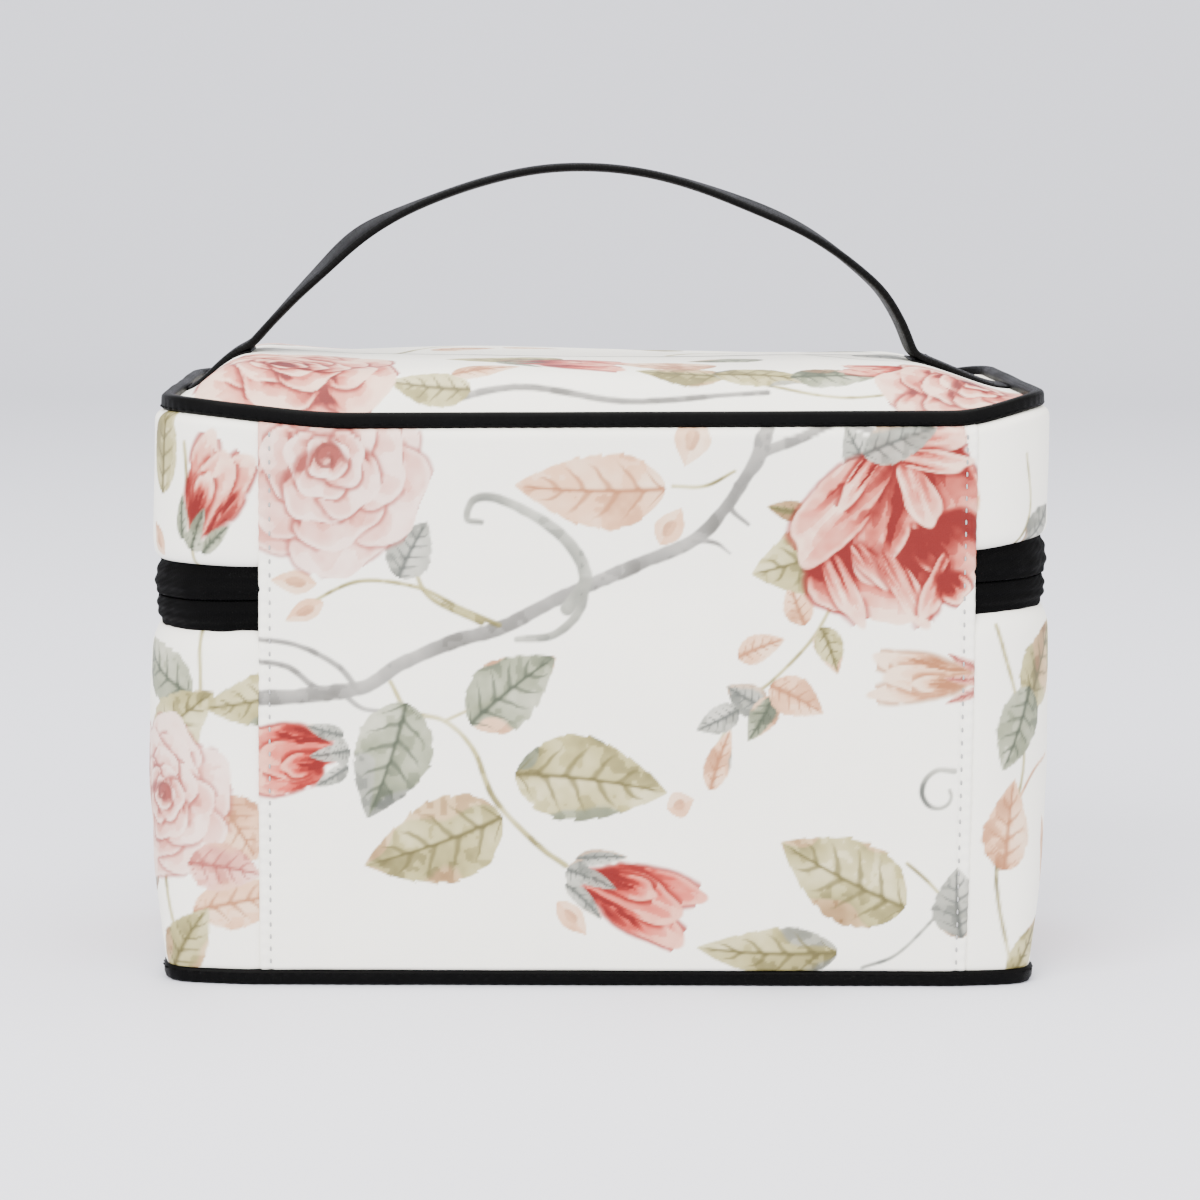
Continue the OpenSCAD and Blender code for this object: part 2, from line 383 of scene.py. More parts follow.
@dataclass(frozen=True)
class Finish:
    """One finish, with what every finish has: a colour, a roughness and a cloth scale."""

    name: str
    colour: tuple[float, float, float]
    rough: float
    slot: str
    yarns: float = 2000.0
    skew: float = 0.0
    weave_bump: float = 0.3
    grain_bump: float = 0.1
    fine: float = 2500.0
    sheen: float = 0.0
    metallic: float = 0.0
    coat: float = 0.0
    printed: bool = False
    shade_depth: float = 0.35
    dust: float = 0.0
    gloss: float = 0.5

    def material(self) -> bpy.types.Material:
        """The finish's material, made once.

        Returns:
            The Blender material.
        """
        found = bpy.data.materials.get(self.name)
        if found:
            return found
        made = bpy.data.materials.new(self.name)
        made.use_nodes = True
        self.fill(NodeKit(made.node_tree))
        made.diffuse_color = (*self.colour, 1.0)
        return made

    def fill(self, kit: NodeKit) -> None:
        """Builds the nodes: cloth place, weave, grain and smudge into one Principled shader, with painted
        shade between the yarns.
        """
        place = kit.add("ShaderNodeAttribute", attribute_name="Flat").outputs["Vector"]
        if self.metallic:
            place = kit.add("ShaderNodeTexCoord").outputs["Object"]
        weave = self.group(kit, Group.WEAVE, place, Yarns=self.yarns, Skew=self.skew)
        grain = self.group(kit, Group.GRAIN, place, Fine=self.fine, Coarse=45.0)
        smudge = self.group(kit, Group.SMUDGE, place, Size=22.0, Spread=0.12)
        shader = kit.add("ShaderNodeBsdfPrincipled")
        out = kit.add("ShaderNodeOutputMaterial")
        kit.link(shader.outputs[0], out.inputs[0])
        base = (*self.colour, 1.0)
        if self.printed:
            base = kit.add("ShaderNodeVertexColor", layer_name="Print").outputs["Color"]
        shade = PRINT_SHADE if self.printed else PLAIN_SHADE
        dark = kit.mix(1.0, base, shade, "MULTIPLY")
        cloud = kit.math("MULTIPLY", grain.outputs["Cloud"], self.shade_depth)
        tone = kit.mix(cloud, base, dark)
        # painted shade: the colour is darkened between the yarns, where they dip under each other
        painted_gap_shade = kit.math("MULTIPLY", kit.math("SUBTRACT", 1.0, weave.outputs["Shade"]),
                       0.10 if self.printed else 0.5)
        tone = kit.mix(painted_gap_shade, tone, dark)
        if self.dust:
            tone = kit.mix(kit.math("MULTIPLY", smudge.outputs["Mask"], self.dust), tone, DUST_GREY)
        kit.link(tone, shader.inputs["Base Color"])
        worn = kit.math("MULTIPLY_ADD", smudge.outputs["Mask"], 0.6, self.rough)
        kit.link(kit.math("MULTIPLY_ADD", grain.outputs["Cloud"], 0.08, worn), shader.inputs["Roughness"])
        shader.inputs["Metallic"].default_value = self.metallic
        shader.inputs["Coat Weight"].default_value = self.coat
        shader.inputs["Specular IOR Level"].default_value = self.gloss
        shader.inputs["Sheen Weight"].default_value = self.sheen
        shader.inputs["Sheen Roughness"].default_value = 0.4
        woven = kit.bump(self.weave_bump, 0.25 / self.yarns, weave.outputs["Height"])
        grained = kit.bump(self.grain_bump, GRAIN_RELIEF, grain.outputs["Height"], woven)
        kit.link(grained, shader.inputs["Normal"])

    @staticmethod
    def group(kit: NodeKit, kind: Group, place: bpy.types.NodeSocket, **values: float) -> bpy.types.Node:
        """Places a shared group in a material.

        Args:
            kit: The material's nodes.
            kind: Which group.
            place: The socket with the place on the cloth.
            values: Values for the group's other inputs.

        Returns:
            The group node.
        """
        node = kit.add("ShaderNodeGroup", node_tree=bpy.data.node_groups[kind.value])
        kit.link(place, node.inputs["Vector"])
        for name, value in values.items():
            node.inputs[name].default_value = value
        return node

    def dress(self, piece: bpy.types.Object) -> bpy.types.Object:
        """Gives a piece this finish."""
        piece.data.materials.clear()
        piece.data.materials.append(self.material())
        return piece


JET = (0.0014, 0.0014, 0.0015)
CHARCOAL = (0.008, 0.008, 0.009)
PRINTED = Finish("PrintedCoatedCloth", (0.86, 0.85, 0.80), 0.42, "printed_fabric", yarns=1500.0,
                 weave_bump=0.10, grain_bump=0.05, fine=1800.0, printed=True, shade_depth=0.12, gloss=0.25)
BINDING = Finish("BlackBinding", (0.0012, 0.0012, 0.0013), 0.42, "black_binding", yarns=2200.0, skew=1.0,
                 weave_bump=0.25, dust=0.008, gloss=0.05)
LINING = Finish("BlackLining", CHARCOAL, 0.5, "lining", yarns=2600.0, weave_bump=0.35,
                sheen=0.05, dust=0.06, gloss=0.3)
FOAM = Finish("WhiteFoam", (0.75, 0.75, 0.72), 0.85, "foam", yarns=900.0, weave_bump=0.05,
              grain_bump=0.6, fine=900.0)
BOARD = Finish("StiffBoard", (0.72, 0.72, 0.70), 0.55, "board", weave_bump=0.02, grain_bump=0.2)
THREAD = Finish("PaleThread", (0.42, 0.42, 0.41), 0.6, "stitch_thread", yarns=5000.0, skew=1.2,
                weave_bump=0.5, sheen=0.2)
DARK_THREAD = Finish("BlackThread", JET, 0.6, "stitch_thread", yarns=5000.0, skew=1.2,
                     weave_bump=0.5, gloss=0.05)
ZIP_TAPE = Finish("ZipTape", JET, 0.75, "zip_tape", yarns=1300.0, skew=0.7,
                  weave_bump=0.6, sheen=0.01, dust=0.01, gloss=0.04)
ZIP_COIL = Finish("NylonCoil", CHARCOAL, 0.32, "zip_coil", weave_bump=0.0, grain_bump=0.1)
METAL = Finish("EnamelledMetal", (0.014, 0.014, 0.016), 0.3, "zip_metal", metallic=0.35, coat=0.15,
               weave_bump=0.0, grain_bump=0.12, fine=900.0, dust=0.04, gloss=0.25)
WEBBING = Finish("StrapWebbing", JET, 0.45, "handle_webbing", yarns=1100.0, weave_bump=0.6, dust=0.008,
                 gloss=0.06)


# ---------------------------------------------------------------- the print


@dataclass(frozen=True)
class Tint:
    """A watercolour tint: its light wash, its body and its deep accents, as screen colours."""

    light: tuple[float, float, float]
    body: tuple[float, float, float]
    deep: tuple[float, float, float]


def tint(light: str, body: str, deep: str) -> Tint:
    """A tint from three colours written in hexadecimal."""
    def split(code: str) -> tuple[float, float, float]:
        """One hexadecimal colour as three shares."""
        return tuple(int(code[i:i + 2], 16) / 255 for i in (0, 2, 4))
    return Tint(split(light), split(body), split(deep))


GROUND = np.array([0.985, 0.976, 0.938])
INK_DENSITY = 1.7
CORAL = tint("f3dccb", "d89a8a", "963c36")
BLUSH = tint("f3e2d7", "e2b9ab", "b0736b")
PEACH = tint("f1dfcb", "e6c6aa", "b98f70")
RED = tint("ecc2b0", "d27c6f", "98362f")
OLIVE = tint("dfd9bc", "bfb890", "827b57")
SAGE = tint("d0cfbf", "a6a994", "6c7263")
MIST = tint("d6d4ca", "b0b0a6", "7c7e78")
BARK = tint("c6c3bb", "a8a6a0", "85837d")


class Canvas:
    """The cloth's flat surface, on which the rose print is painted at the mesh's points."""

    def __init__(self, u: np.ndarray, v: np.ndarray, seed: int = 1) -> None:
        """Starts with bare cloth.

        Args:
            u: Each point's place along the cloth.
            v: Each point's place up the cloth.
            seed: Which paint noise.
        """
        self.u, self.v, self.seed = u.ravel(), v.ravel(), seed
        self.rgb = np.tile(GROUND, (self.u.size, 1))
        pools, grains = (soft_noise(self.u, self.v, cell, seed + k) for k, cell in enumerate((5.5, 1.9)))
        self.wash = pools * 0.6 + grains * 0.4
        self.blot = soft_noise(self.u, self.v, 11.0, seed + 2)

    def local(self, at: tuple[float, float], turn: float, reach: float) -> tuple:
        """The points near a place, in axes turned by an angle.

        Args:
            at: The place.
            turn: The angle in degrees.
            reach: How far from the place.

        Returns:
            The points' numbers and their two coordinates.
        """
        dx, dy = self.u - at[0], self.v - at[1]
        near = np.nonzero((np.abs(dx) < reach) & (np.abs(dy) < reach))[0]
        c, s = math.cos(math.radians(turn)), math.sin(math.radians(turn))
        dx, dy = dx[near], dy[near]
        return near, dx * c + dy * s, dy * c - dx * s

    def lay(self, near: np.ndarray, cover: np.ndarray, colour: np.ndarray) -> None:
        """Lays colour over the given points, as thick as cover says."""
        self.rgb[near] += (colour - self.rgb[near]) * np.clip(cover, 0, 1)[:, None]

    def tone(self, near: np.ndarray, colours: Tint, depth: np.ndarray) -> np.ndarray:
        """A tint at each point, from its light wash at depth 0 to its accents at depth 1."""
        depth = np.clip(depth + 0.16 * self.wash[near], 0, 1)[:, None]
        light, body, deep = (np.array(c) for c in (colours.light, colours.body, colours.deep))
        pale, dark = light + (body - light) * depth * 2, body + (deep - body) * (depth * 2 - 1)
        return np.where(depth < 0.5, pale, dark)

    def leaf(self, at: tuple[float, float], length: float, width: float, turn: float, colours: Tint,
             other: Tint | None = None) -> None:
        """A serrated leaf with a midrib and side veins.

        Args:
            at: Its middle.
            length: From its base to its tip.
            width: Across its middle.
            turn: Which way its tip points, in degrees.
            colours: Its tint.
            other: The tint of the half beside the midrib, if that differs.
        """
        near, x, y = self.local(at, turn, 0.62 * max(length, width))
        t = np.clip(x / length + 0.5, 0, 1)
        y = y - 0.10 * length * (0.25 - (t - 0.5) ** 2)
        teeth = 1 + 0.035 * (1 - 2 * ((t * 7) % 1)) + 0.09 * self.wash[near]
        half = width / 2 * np.sin(math.pi * t ** 0.72) ** 0.85 * teeth
        inside = np.where(np.abs(x) < length / 2, half - np.abs(y), -1.0)
        cover = smooth(-0.3, 0.35, inside)
        out = np.clip(np.abs(y) / np.maximum(half, 0.2), 0, 1)
        rib = np.exp(-(y / (0.28 + 0.42 * (1 - t))) ** 2) * smooth(1.0, 0.86, t)
        rows = t * 5.6 - out * 0.75 - 0.35 * out ** 2 + 0.10 * self.wash[near] + 0.22 * (y > 0)
        vein = smooth(0.24 * (1 - 0.85 * out), 0.02, np.abs(rows - np.round(rows)))
        vein = vein * smooth(0.92, 0.45, out) * smooth(0.98, 0.80, t)
        depth = 0.34 + 0.20 * (y > 0) + 0.30 * self.blot[near] + 0.16 * (self.wash[near] > 0.12)
        colour = self.tone(near, colours, depth)
        warm = smooth(0.05, 0.20, self.blot[near] * 0.8 + 0.55 * out - 0.45)[:, None]
        colour = colour + (self.tone(near, other or PEACH, depth) - colour) * warm * (0.9 if other else 0.55)
        deep = np.array(colours.deep)
        colour = colour + (deep - colour) * np.clip(0.85 * rib + 0.62 * vein, 0, 0.92)[:, None]
        self.lay(near, cover * 0.96, colour)

    def petal(self, at: tuple[float, float], length: float, width: float, turn: float, colours: Tint,
              deep: float, seed: int) -> None:
        """One rose petal, dark at its base and pale at its curled edge.

        Args:
            at: Its middle.
            length: From its base to its edge.
            width: Across it.
            turn: Which way its edge points, in degrees.
            colours: Its tint.
            deep: How dark it is at its base, 0 to 1.
            seed: Which ripple its edge has.
        """
        near, x, y = self.local(at, turn, 0.75 * max(length, width))
        a, b = x / (length / 2), y / (width / 2)
        angle = np.arctan2(b, a)
        edge = 1 + 0.07 * np.sin(3 * angle + seed) + 0.05 * np.sin(5 * angle + 2.1 * seed)
        edge = edge + 0.04 * self.wash[near]
        out = (edge - np.hypot(a, b)) * min(length, width) / 2
        dark = min(1.0, deep)
        shadow = smooth(-1.5, -0.1, out) * (a < 0.9) * smooth(-0.35, 0.25, self.wash[near] + 0.5 * dark)
        self.lay(near, shadow * (0.30 + 0.42 * dark), self.tone(near, colours, np.full(len(near), 0.98)))
        streak = 0.14 * np.sin(b * 8 + seed + 1.5 * a) * (1 - a)
        depth = deep * (0.50 - 0.62 * a) + streak + 0.14 * (b > 0.2) + 0.18 * self.blot[near]
        depth = 0.45 * depth + 0.55 * np.floor(depth * 3.6 + 0.5) / 3.6
        rim = smooth(1.7, 0.5, out) * smooth(-0.2, 0.3, a + 0.5 * self.wash[near])
        fold = smooth(0.62, 0.9, np.sin(b * 5.2 + 1.9 * seed + 1.4 * a + 0.8 * self.wash[near]))
        fold = fold * smooth(0.5, -0.1, a + 0.3 * self.wash[near]) * dark
        depth = depth * (1 - 0.75 * rim) + 0.75 * fold
        self.lay(near, smooth(-0.2, 0.3, out) * 0.97, self.tone(near, colours, depth))

    def rose(self, at: tuple[float, float], radius: float, turn: float, colours: Tint,
             deep: float = 0.9) -> None:
        """An open rose of petals in rings about an off-centre heart.

        Args:
            at: Its middle.
            radius: Its size.
            turn: The angle of its first petal, in degrees.
            colours: Its tint.
            deep: How dark its folds are, 0 to 1.
        """
        rings = [(6, 0.60, 0.86, 0.92, 0.55), (5, 0.42, 0.74, 0.80, 0.75), (5, 0.27, 0.60, 0.62, 0.92),
                 (4, 0.14, 0.46, 0.48, 1.05), (3, 0.05, 0.30, 0.34, 1.2)]
        heart = toward(at, 0.10 * radius, turn)
        for ring, (count, away, long, wide, dark) in enumerate(rings):
            share = ring / (len(rings) - 1)
            mid = (at[0] + (heart[0] - at[0]) * share, at[1] + (heart[1] - at[1]) * share)
            for k in range(count):
                angle = turn + 360 * (k + 0.5 * (ring % 2)) / count + 9 * math.sin(3.7 * k + ring)
                self.petal(toward(mid, away * radius, angle, 0.94), long * radius * 0.95, wide * radius,
                           angle, colours, deep * dark, ring * 7 + k)
        self.coil(heart, 0.16 * radius, turn, colours)

    def full_rose(self, at: tuple[float, float], radius: float, colours: Tint) -> None:
        """A heavy rose seen from its side, whose petals hang from its stalk above.

        Args:
            at: Its middle.
            radius: Its size.
            colours: Its tint.
        """
        petals = [(-0.05, -0.43, 0.95, 1.45, -90, 1.7), (0.47, 0.43, 1.10, 0.90, -60, 0.9),
                  (0.64, -0.17, 0.80, 0.70, -50, 1.2), (-0.09, 0.09, 1.25, 0.55, -95, 1.0),
                  (0.30, 0.38, 0.75, 0.34, -65, 0.35), (0.38, 0.92, 0.85, 0.26, 12, 0.7),
                  (0.43, 0.75, 0.80, 0.24, -8, 0.5), (-0.43, -0.58, 0.80, 0.26, -62, 0.4),
                  (-0.17, -0.34, 0.60, 0.20, -50, 0.4), (0.17, -0.58, 0.90, 0.26, -58, 0.4),
                  (0.47, -0.58, 0.70, 0.22, -110, 0.5), (0.66, -0.58, 0.35, 0.30, -40, 1.4),
                  (-0.49, 0.26, 1.35, 0.62, -128, 0.5), (-0.28, 0.58, 0.85, 0.20, -122, 0.9)]
        for k, (u, v, long, wide, angle, deep) in enumerate(petals):
            spot = (at[0] + u * radius, at[1] + v * radius)
            self.petal(spot, long * radius, wide * radius, angle, colours, deep, k)

    def coil(self, at: tuple[float, float], radius: float, turn: float, colours: Tint) -> None:
        """The tight heart of a rose, as a dark spiral."""
        near, x, y = self.local(at, turn, radius)
        far = np.hypot(x, y) / radius
        swirl = np.sin(9 * far + np.arctan2(y, x))
        self.lay(near, smooth(1.0, 0.7, far) * smooth(0.1, 0.7, swirl) * 0.7, np.array(colours.deep) * 0.9)

    def bud(self, at: tuple[float, float], length: float, width: float, turn: float, colours: Tint,
            cup: Tint = SAGE) -> None:
        """A closed rosebud in its cup of sepals.

        Args:
            at: Its middle.
            length: From the cup to the tip.
            width: Across it.
            turn: Which way its tip points, in degrees.
            colours: The petals' tint.
            cup: The sepals' tint.
        """
        c, s = math.cos(math.radians(turn)), math.sin(math.radians(turn))

        def spot(along: float, across: float) -> tuple[float, float]:
            """A place in the bud's own axes, in shares of its length and width."""
            a, b = along * length, across * width
            return at[0] + a * c - b * s, at[1] + a * s + b * c

        petals = [(0.10, 0.22, 0.80, 0.55, 9, 0.75), (0.10, -0.24, 0.80, 0.55, -10, 0.95),
                  (-0.02, 0.0, 0.84, 0.62, 0, 0.70), (-0.10, 0.10, 0.50, 0.34, 6, 1.25)]
        for seed, (along, across, long, wide, lean, deep) in enumerate(petals, 1):
            self.petal(spot(along, across), length * long, width * wide, turn + lean, colours, deep, seed)
        for side, lean in ((0.42, 24), (-0.42, -24), (0.0, 0)):
            self.leaf(spot(-0.38, side * 0.8), length * 0.42, width * 0.24, turn + lean, cup)
        self.leaf(spot(-0.50, 0.0), length * 0.22, width * 0.42, turn, cup)

    def drop(self, at: tuple[float, float], length: float, width: float, turn: float, colours: Tint) -> None:
        """A small closed bud or a fallen petal."""
        near, x, y = self.local(at, turn, length)
        t = np.clip(x / length + 0.5, 0, 1)
        half = width / 2 * np.sin(math.pi * t ** 0.8) * (1 + 0.10 * self.wash[near])
        inside = np.where(np.abs(x) < length / 2, half - np.abs(y), -1.0)
        depth = 0.25 + 0.25 * (y < 0) + 0.25 * self.blot[near]
        self.lay(near, smooth(-0.2, 0.25, inside) * 0.95, self.tone(near, colours, depth))
        heart = 1 - np.hypot((x / length + 0.06) / 0.26, y / width / 0.24) + 0.3 * self.wash[near]
        self.lay(near, smooth(0.0, 0.25, heart) * 0.6, self.tone(near, colours, 0.75 + 0.2 * (y > 0)))

    def stem(self, route: list[tuple[float, float]], start: float, end: float, colours: Tint) -> None:
        """A painted branch or stem.

        Args:
            route: The points that it runs through.
            start: Its width where it starts.
            end: Its width where it ends.
            colours: Its tint.
        """
        path = spline(np.array(route, float), 10)
        low, high = path.min(0) - 4, path.max(0) + 4
        near = np.nonzero((self.u > low[0]) & (self.u < high[0])
                          & (self.v > low[1]) & (self.v < high[1]))[0]
        best, share, side = np.full(near.size, 99.0), np.zeros(near.size), np.zeros(near.size)
        p = np.stack([self.u[near], self.v[near]], axis=1)
        for i in range(len(path) - 1):
            a, d = path[i], path[i + 1] - path[i]
            t = np.clip(((p - a) @ d) / max(d @ d, 1e-9), 0, 1)
            off = p - a - t[:, None] * d
            far = np.hypot(off[:, 0], off[:, 1])
            closer = far < best
            best = np.where(closer, far, best)
            share = np.where(closer, (i + t) / (len(path) - 1), share)
            side = np.where(closer, off[:, 1], side)
        half = (start + (end - start) * share) / 2 * (1 + 0.16 * self.wash[near])
        depth = 0.46 - 0.15 * side / np.maximum(half, 0.1)
        depth = depth + 0.32 * self.blot[near] + 0.16 * (self.wash[near] > 0.2)
        self.lay(near, smooth(-0.42, 0.42, half - best) * 0.95, self.tone(near, colours, depth))

    def curl(self, at: tuple[float, float], radius: float, turn: float, colours: Tint,
             width: float = 1.6) -> None:
        """A tendril that winds in on itself."""
        route = [toward(at, radius * (1 - 0.08 * k), turn + 40 * k) for k in range(9)]
        self.stem(route, width, width * 0.5, colours)

    def linear(self) -> np.ndarray:
        """The painted colours in linear values, as dense as printed ink."""
        ground = to_linear(GROUND)
        return ground * np.clip(to_linear(self.rgb) / ground, 0.004, 1.0) ** INK_DENSITY


def spline(points: np.ndarray, steps: int) -> np.ndarray:
    """A smooth curve through points.

    Args:
        points: The points that it runs through.
        steps: How many steps it takes between two of them.

    Returns:
        The curve's points.
    """
    p = np.concatenate([2 * points[:1] - points[1:2], points, 2 * points[-1:] - points[-2:-1]])
    t = np.linspace(0, 1, steps, endpoint=False)[:, None]
    parts = []
    for i in range(1, len(p) - 2):
        a, b, c, d = p[i - 1], p[i], p[i + 1], p[i + 2]
        parts.append(0.5 * (2 * b + (c - a) * t + (2 * a - 5 * b + 4 * c - d) * t ** 2
                            + (3 * b - 3 * c + d - a) * t ** 3))
    return np.concatenate([*parts, points[-1:]])


@dataclass
class Motif:
    """A group of the print on a canvas, whose own places and angles are turned into the canvas's.

    An angle is one number, or a pair: an angle, and a swing that changes side with the mirror.
    """

    canvas: Canvas
    x: float = 0.0
    z: float = 0.0
    flip: int = 1
    rise: float = 1.0

    def at(self, u: float, v: float) -> tuple[float, float]:
        """A place of the group on the canvas."""
        return self.x + self.flip * u, self.z + self.rise * v

    def stems(self, *rows: tuple) -> None:
        """Draws stems, each given as its width at both ends, its tint and its route."""
        for start, end, colours, *route in rows:
            self.canvas.stem([self.at(u, v) for u, v in route], start, end, colours)

    def shapes(self, draw: Callable, *rows: tuple) -> None:
        """Draws leaves, buds or drops.

        Args:
            draw: The canvas's own way to draw one.
            rows: Each one's place, length, width, angle and tints.
        """
        for u, v, length, width, turn, *tints in rows:
            angle = turn[0] + self.flip * turn[1] if isinstance(turn, tuple) else turn
            draw(self.at(u, v), length, width, angle, *tints)


def paint_spray(c: Canvas, x: float, z: float) -> None:
    """The print's main spray: a branch with leaves and buds, from a rose at its right end.

    Args:
        c: The canvas.
        x: The middle of the spray.
        z: The foot of the spray.
    """
    spray = Motif(c, x, z + 1.5, rise=1.022)
    # stems first, so that leaves and flowers lie over them
    spray.stems(
        (1.3, 2.0, BARK, (-104, 92), (-92, 90), (-84, 84), (-77, 82)),
        (1.8, 1.0, BARK, (-77, 83), (-71, 78), (-64, 77)),
        (4.4, 3.4, BARK, (-104, 81), (-84, 82), (-70, 84), (-60, 90), (-45, 96), (-33, 99), (-16, 107),
         (4, 115), (21, 122), (29, 130), (35, 139), (39, 147), (44, 160)),
        (1.6, 0.6, BARK, (21, 122), (27, 121), (31, 118)),
        (3.2, 2.0, BARK, (39, 146), (50, 150), (60, 154), (70, 152)),
        (4.6, 2.6, BARK, (40, 150), (38, 143), (34, 138)),
        (4.2, 1.4, MIST, (-14, 104), (-9, 112), (-13, 121), (-21, 128), (-33, 134), (-40, 134), (-42, 129),
         (-38, 128)),
        (3.2, 1.8, MIST, (-9, 112), (-11, 103), (-18, 97), (-28, 96)),
        (2.6, 1.0, BARK, (33, 137), (31, 131), (36, 126)),
        (1.8, 1.2, BARK, (-72, 83), (-78, 90), (-90, 96), (-104, 98)),
        (0.9, 1.4, OLIVE, (-86, 107), (-72, 113), (-56, 111), (-44, 105), (-33, 100)),
        (1.0, 1.8, OLIVE, (-57, 117), (-52, 108), (-38, 101)),
        (1.2, 1.7, OLIVE, (-63, 85), (-58, 77), (-48, 74), (-40, 66), (-34, 52), (-22, 39), (-14, 33)),
        (1.0, 0.8, OLIVE, (-48, 74), (-41, 77), (-35, 79)),
        (1.1, 0.8, OLIVE, (15, 137), (24, 137), (32, 141)),
        (1.0, 0.7, OLIVE, (60, 104), (54, 94), (44, 84), (34, 76), (26, 62)),
        (0.9, 0.9, OLIVE, (82, 33), (88, 28), (96, 20), (104, 14)),
        (0.9, 0.7, MIST, (70, 4), (80, 8), (92, 20), (104, 32)))
    spray.shapes(
        c.leaf, (-8, 137, 42, 21, 178, PEACH), (-57, 121, 17, 13, 62, MIST),
        (-29, 82, 30, 20, 38, SAGE, PEACH),
        (-64, 63, 35, 22, 252, SAGE, MIST), (-7, 56, 43, 24, -8, OLIVE, SAGE), (-51, 40, 41, 25, 200, OLIVE),
        (64, 30, 40, 24, 152, OLIVE), (43, 9, 40, 15, 178, OLIVE, MIST), (97, 22, 20, 15, 95, MIST),
        (36, 79, 13, 9, 150, MIST), (28, 73, 13, 8, 205, MIST), (40, 73, 14, 8, 240, SAGE, PEACH),
        (50, 78, 17, 11, -28, PEACH), (40, 92, 14, 8, 20, PEACH), (50, 104, 13, 8, 110, PEACH),
        (59, 91, 14, 8, -70, OLIVE, PEACH), (29, 62, 18, 7, 72, PEACH, MIST), (51, 116, 29, 20, 196, OLIVE),
        (67, 146, 17, 11, 120, MIST), (47, 130, 12, 6, 170, OLIVE))
    spray.shapes(
        c.drop, (20, 149, 14, 10, 255, PEACH), (14.5, 126, 12, 8, 60, PEACH), (-90, 113, 13, 6.5, 176, PEACH),
        (-87, 105, 12, 6, 205, PEACH), (18, 50, 8, 8, 20, PEACH))
    spray.shapes(c.bud, (-90, 64, 26, 20, 188, RED, MIST), (6, 24, 35, 20, -22, RED, MIST))
    spray.shapes(c.drop, (-12, 18, 13, 7, -50, PEACH))
    spray.shapes(c.bud, (86, 83, 30, 13, 178, PEACH, BLUSH))
    c.curl(spray.at(91, 52), 7, 60, MIST)
    c.rose(spray.at(-83, 143), 31, 40, BLUSH, 1.0)
    c.full_rose(spray.at(75, 123), 28, CORAL)
    spray.shapes(c.leaf, (78, 149, 22, 12, 20, MIST))


def paint_side(c: Canvas, x: float, z: float, flip: int) -> None:
    """A smaller group for the narrow walls: a pale rose, a bud and leaves up one stem.

    Args:
        c: The canvas.
        x: Where its stem stands.
        z: The foot of the stem.
        flip: 1, or -1 for the mirrored group.
    """
    side = Motif(c, x, z, flip)
    side.stems((1.0, 1.2, OLIVE, (2, 0), (8, 40), (-2, 80), (4, 150)))
    side.shapes(
        c.leaf, (14, 92, 30, 17, (90, -62), SAGE, MIST), (6, 76, 32, 19, (90, 50), OLIVE),
        (-15, 24, 30, 15, (90, 80), PEACH), (22, 30, 26, 14, (90, -120), MIST), (2, 12, 24, 13, 60, OLIVE))
    side.shapes(c.bud, (-5, 139, 27, 18, (90, 24), CORAL))
    side.shapes(c.drop, (4, 112, 13, 9, 250, PEACH), (17, 126, 10, 6, 130, PEACH))
    side.shapes(
        c.leaf, (-16, 84, 26, 15, (90, -100), OLIVE, SAGE), (13, 150, 26, 14, (90, 8), OLIVE),
        (-12, 46, 22, 16, (90, 150), PEACH))
    c.rose(side.at(14, 54), 26, 20, BLUSH, 1.0)
    side.shapes(c.leaf, (-9, 34, 20, 15, (90, 100), BLUSH))


def paint_twigs(c: Canvas, x: float) -> None:
    """A light group for the narrow walls: leaves on thin twigs, with no flower."""
    twigs = Motif(c, x)
    twigs.stems(
        (0.8, 1.1, OLIVE, (4, 0), (-3, 34), (6, 62), (-4, 100)),
        (0.9, 0.7, PEACH, (-2, 44), (10, 58), (20, 62)),
        (0.9, 0.6, OLIVE, (2, 118), (8, 130), (6, 146)))
    twigs.shapes(
        c.leaf, (15, 88, 27, 18, 54, OLIVE), (3, 71, 24, 15, 248, SAGE), (1, 45, 25, 14, 82, PEACH),
        (19, 34, 24, 10, 104, PEACH, OLIVE), (8, 10, 20, 9, 60, OLIVE), (14, 124, 18, 12, 40, MIST),
        (-14, 138, 18, 9, 100, PEACH))


def paint_end(c: Canvas, x: float, flip: int) -> None:
    """The rest of a narrow wall: a branch that climbs to the lid, with leaves, a bud and a rose.

    Args:
        c: The canvas.
        x: The middle of the group.
        flip: 1, or -1 for the mirrored group.
    """
    end = Motif(c, x, 0.0, flip)
    end.stems(
        (3.4, 2.4, BARK, (-62, 84), (-34, 92), (-8, 100), (20, 104), (44, 122), (58, 146)),
        (1.2, 0.9, OLIVE, (20, 104), (34, 96), (40, 80), (36, 62)),
        (1.6, 0.9, BARK, (-30, 93), (-36, 110), (-30, 128)))
    end.shapes(
        c.leaf, (-44, 122, 30, 17, (90, 34), PEACH), (-14, 138, 28, 15, (90, 70), OLIVE),
        (30, 70, 30, 18, (90, 130), SAGE), (50, 58, 32, 18, (90, -150), OLIVE),
        (-54, 62, 26, 15, (90, 140), MIST))
    end.shapes(c.bud, (44, 26, 30, 18, (90, -120), RED, MIST))
    end.shapes(c.drop, (-24, 112, 11, 7, 60, PEACH), (14, 86, 11, 7, 250, PEACH))
    c.rose(end.at(24, 136), 21, 70, CORAL, 1.1)


# ---------------------------------------------------------------- the case's shape


